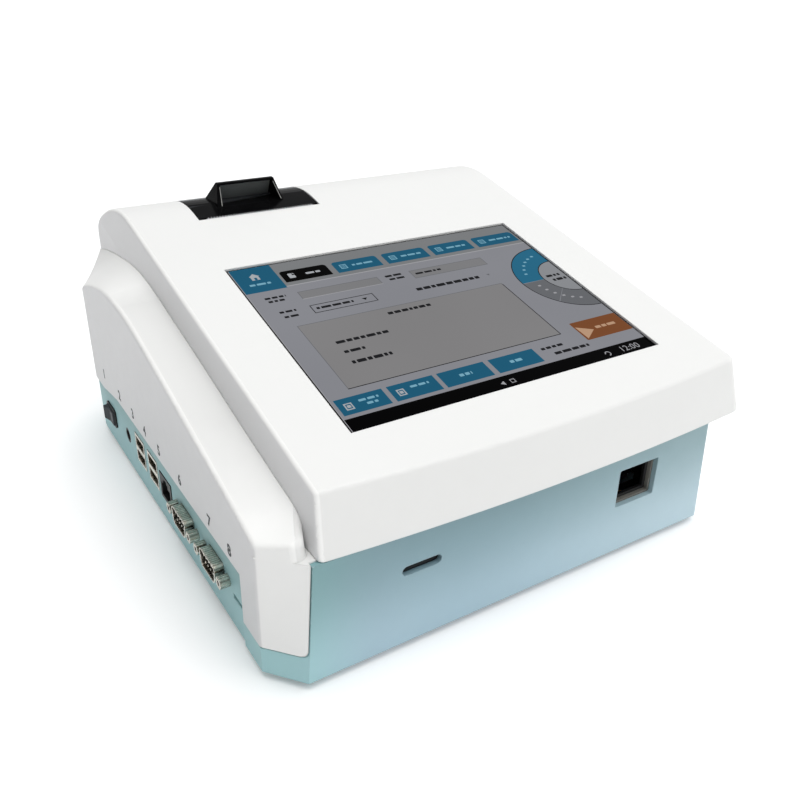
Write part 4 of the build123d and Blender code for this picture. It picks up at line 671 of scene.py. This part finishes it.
# painted highlights: thin light strips on the hood's front rims
rim_highlight_mat = moulded("hood_rim_highlight", lin(172, 172, 168), 0.3, 2200, 0.00002, 0.3, 0.08)
wedge("hood_painted_lit_back", [hood_back(-49.2, 124.9, 0.10), hood_back(-17.8, 124.9, 0.10),
                     hood_back(-19.6, 133.7, 0.10), hood_back(-48.1, 133.7, 0.10)],
      (0, 0.00012, 0.00010), lit_back_sheet, "printer_door")
wedge("hood_rim_left", [hood_front(-50.35, 125.1, 0.12), hood_front(-49.95, 125.1, 0.12),
                        hood_front(-48.65, 133.6, 0.12), hood_front(-48.95, 133.6, 0.12)],
      (0, 0.00016, -0.00010), rim_highlight_mat, "printer_door", 0.00004)
wedge("hood_rim_right", [hood_front(-17.15, 125.1, 0.12), hood_front(-16.75, 125.1, 0.12),
                         hood_front(-18.85, 133.6, 0.12), hood_front(-19.15, 133.6, 0.12)],
      (0, 0.00016, -0.00010), rim_highlight_mat, "printer_door", 0.00004)

# ------------------------------------------ black inner frame of the cassette port
port_black = moulded("port_black", lin(14, 14, 15), 0.5, 2200, 0.00003, 0.4, 0.1)
px, pz = 0.0536, 0.0378
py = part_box("cassette_bezel")[0][1] + 0.0018
for nme, x0, x1, z0, z1 in (("top", -10.6, 10.6, 7.05, 8.5), ("bottom", -10.6, 10.6, -8.5, -7.05),
                            ("left", -10.6, -9.15, -7.05, 7.05), ("right", 9.15, 10.6, -7.05, 7.05)):
    wedge("port_frame_" + nme, [(px + x0 / 1000, py, pz + z0 / 1000), (px + x1 / 1000, py, pz + z0 / 1000),
                                (px + x1 / 1000, py, pz + z1 / 1000), (px + x0 / 1000, py, pz + z1 / 1000)],
          (0, 0.0017, 0), port_black, "chassis")

# ------------------------------------------------------------- port numbers
ink = moulded("label_ink", lin(40, 46, 50), 0.5, 2600, 0.00001, 0.2, 0.05)
rot_l = Matrix((Vector((0, -1, 0)), Vector((0, 0, 1)), Vector((-1, 0, 0)))).transposed().to_4x4()
for i, (y, z) in enumerate(((83, 44.4), (55, 44.2), (33, 44.2), (14.5, 44.2), (-6, 44.2), (-33.4, 44.2), (-67.3, 44.2), (-88, 43.8))):
    d = digits("port_number_%d" % (i + 1), str(i + 1), Vector((-0.12052, y / 1000, z / 1000)), rot_l, 0.0072, ink,
               "chassis", 1.0, 0.00002, 0.00024)

# ------------------------------------------- dark inserts in the metal sockets
insert = moulded("socket_insert", lin(18, 18, 19), 0.5, 2200, 0.00003, 0.4, 0.1)
for i, yc in enumerate((-33.4, -67.3)):
    pts = []
    for cy, cz, sy, sz, a0 in ((5.75, 1.55, 1, 1, 0), (-5.75, 1.55, -1, 1, 90), (-4.3, -1.55, -1, -1, 180), (4.3, -1.55, 1, -1, 270)):
        for k in range(5):
            a = math.radians(a0 + 22.5 * k)
            pts.append((yc + cy + 2.3 * math.cos(a), 23.6 + cz + 2.3 * math.sin(a)))
    bm = bmesh.new()
    lo = [bm.verts.new((-0.11925, y / 1000, z / 1000)) for y, z in pts]
    hi = [bm.verts.new((-0.11985, y / 1000, z / 1000)) for y, z in pts]
    bm.faces.new(lo)
    bm.faces.new(list(reversed(hi)))
    for k in range(len(pts)):
        j = (k + 1) % len(pts)
        bm.faces.new((lo[k], hi[k], hi[j], lo[j]))
    bmesh.ops.recalc_face_normals(bm, faces=bm.faces)
    me = bpy.data.meshes.new("socket_insert_%d" % (i + 1))
    bm.to_mesh(me)
    bm.free()
    me.materials.append(insert)
    ob = bpy.data.objects.new("socket_insert_%d" % (i + 1), me)
    scene.collection.objects.link(ob)
    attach(ob, "chassis")

# -------------------------------------------------------------------- stage
def stage_plane():
    me = bpy.data.meshes.new("floor")
    bm = bmesh.new()
    s = 55.0
    vs = [bm.verts.new(p) for p in ((-s, -s, 0), (s, -s, 0), (s, s, 0), (-s, s, 0))]
    bm.faces.new(vs)
    bm.to_mesh(me)
    bm.free()
    ob = bpy.data.objects.new("floor", me)
    scene.collection.objects.link(ob)
    m = Mat("floor_paint")
    n = m.noise(2.0, 3.0)
    m.set(color=m.mix(m.rng(n, 0.0, 1.0, 0.3, 0.7), (0.97, 0.97, 0.97, 1), (0.985, 0.985, 0.985, 1)), rough=0.9)
    m.b.inputs['Specular IOR Level'].default_value = 0.1
    # the table glows a little towards the camera, as a light table does
    lp = m.n('ShaderNodeLightPath')
    m.b.inputs['Emission Color'].default_value = (1.0, 1.0, 1.0, 1.0)
    m.l(m.math('MULTIPLY', lp.outputs['Is Camera Ray'], 0.13), m.b.inputs['Emission Strength'])
    me.materials.append(m.m)
    return ob


stage_plane()

world = bpy.data.worlds.new("studio")
scene.world = world
world.use_nodes = True
wt = world.node_tree
bg = wt.nodes["Background"]
tc = wt.nodes.new('ShaderNodeTexCoord')
sep = wt.nodes.new('ShaderNodeSeparateXYZ')
wt.links.new(tc.outputs['Generated'], sep.inputs[0])


def wmath(op, a, b):
    m = wt.nodes.new('ShaderNodeMath')
    m.operation = op
    for v, sck in ((a, m.inputs[0]), (b, m.inputs[1])):
        if isinstance(v, (int, float)):
            sck.default_value = v
        else:
            wt.links.new(v, sck)
    return m.outputs[0]


# soft box sky: bright overhead, dimmer on the left
SKY_BASE, SKY_UP, SKY_X, SKY_Y, BOX = 0.31, 0.65, 0.58, -0.06, 0.24
glow = wmath('ADD', SKY_BASE, wmath('MULTIPLY', wmath('MAXIMUM', sep.outputs['Z'], 0.0), SKY_UP))
glow = wmath('ADD', glow, wmath('MULTIPLY', sep.outputs['X'], SKY_X))
glow = wmath('ADD', glow, wmath('MULTIPLY', sep.outputs['Y'], -SKY_Y))
# broad soft box in front, a little to the left
box = wmath('ADD', wmath('MULTIPLY', sep.outputs['X'], -0.30), wmath('MULTIPLY', sep.outputs['Y'], -0.88))
box = wmath('MAXIMUM', wmath('ADD', box, wmath('MULTIPLY', sep.outputs['Z'], 0.36)), 0.0)
glow = wmath('ADD', glow, wmath('MULTIPLY', wmath('MULTIPLY', box, box), BOX))
wt.links.new(wmath('MAXIMUM', glow, 0.10), bg.inputs['Strength'])
bg.inputs["Color"].default_value = (0.985, 0.992, 1.0, 1.0)
# a plain pale backdrop is what is seen behind the floor
lp = wt.nodes.new('ShaderNodeLightPath')
pale = wt.nodes.new('ShaderNodeBackground')
pale.inputs['Color'].default_value = (1.0, 1.0, 1.0, 1.0)
pale.inputs['Strength'].default_value = 1.0
pick = wt.nodes.new('ShaderNodeMixShader')
wt.links.new(lp.outputs['Is Camera Ray'], pick.inputs[0])
wt.links.new(bg.outputs[0], pick.inputs[1])
wt.links.new(pale.outputs[0], pick.inputs[2])
wt.links.new(pick.outputs[0], wt.nodes["World Output"].inputs['Surface'])


def sun(name, toward, power, spread, color=(1, 1, 1)):
    d = bpy.data.lights.new(name, 'SUN')
    d.energy = power
    d.color = color
    d.angle = math.radians(spread)
    o = bpy.data.objects.new(name, d)
    scene.collection.objects.link(o)
    v = -Vector(toward).normalized()
    o.rotation_mode = 'QUATERNION'
    o.rotation_quaternion = v.to_track_quat('-Z', 'Y')
    return o


sun("key", (0.03, -0.14, 0.98), 1.06, 50.0, (1.0, 0.997, 0.99))
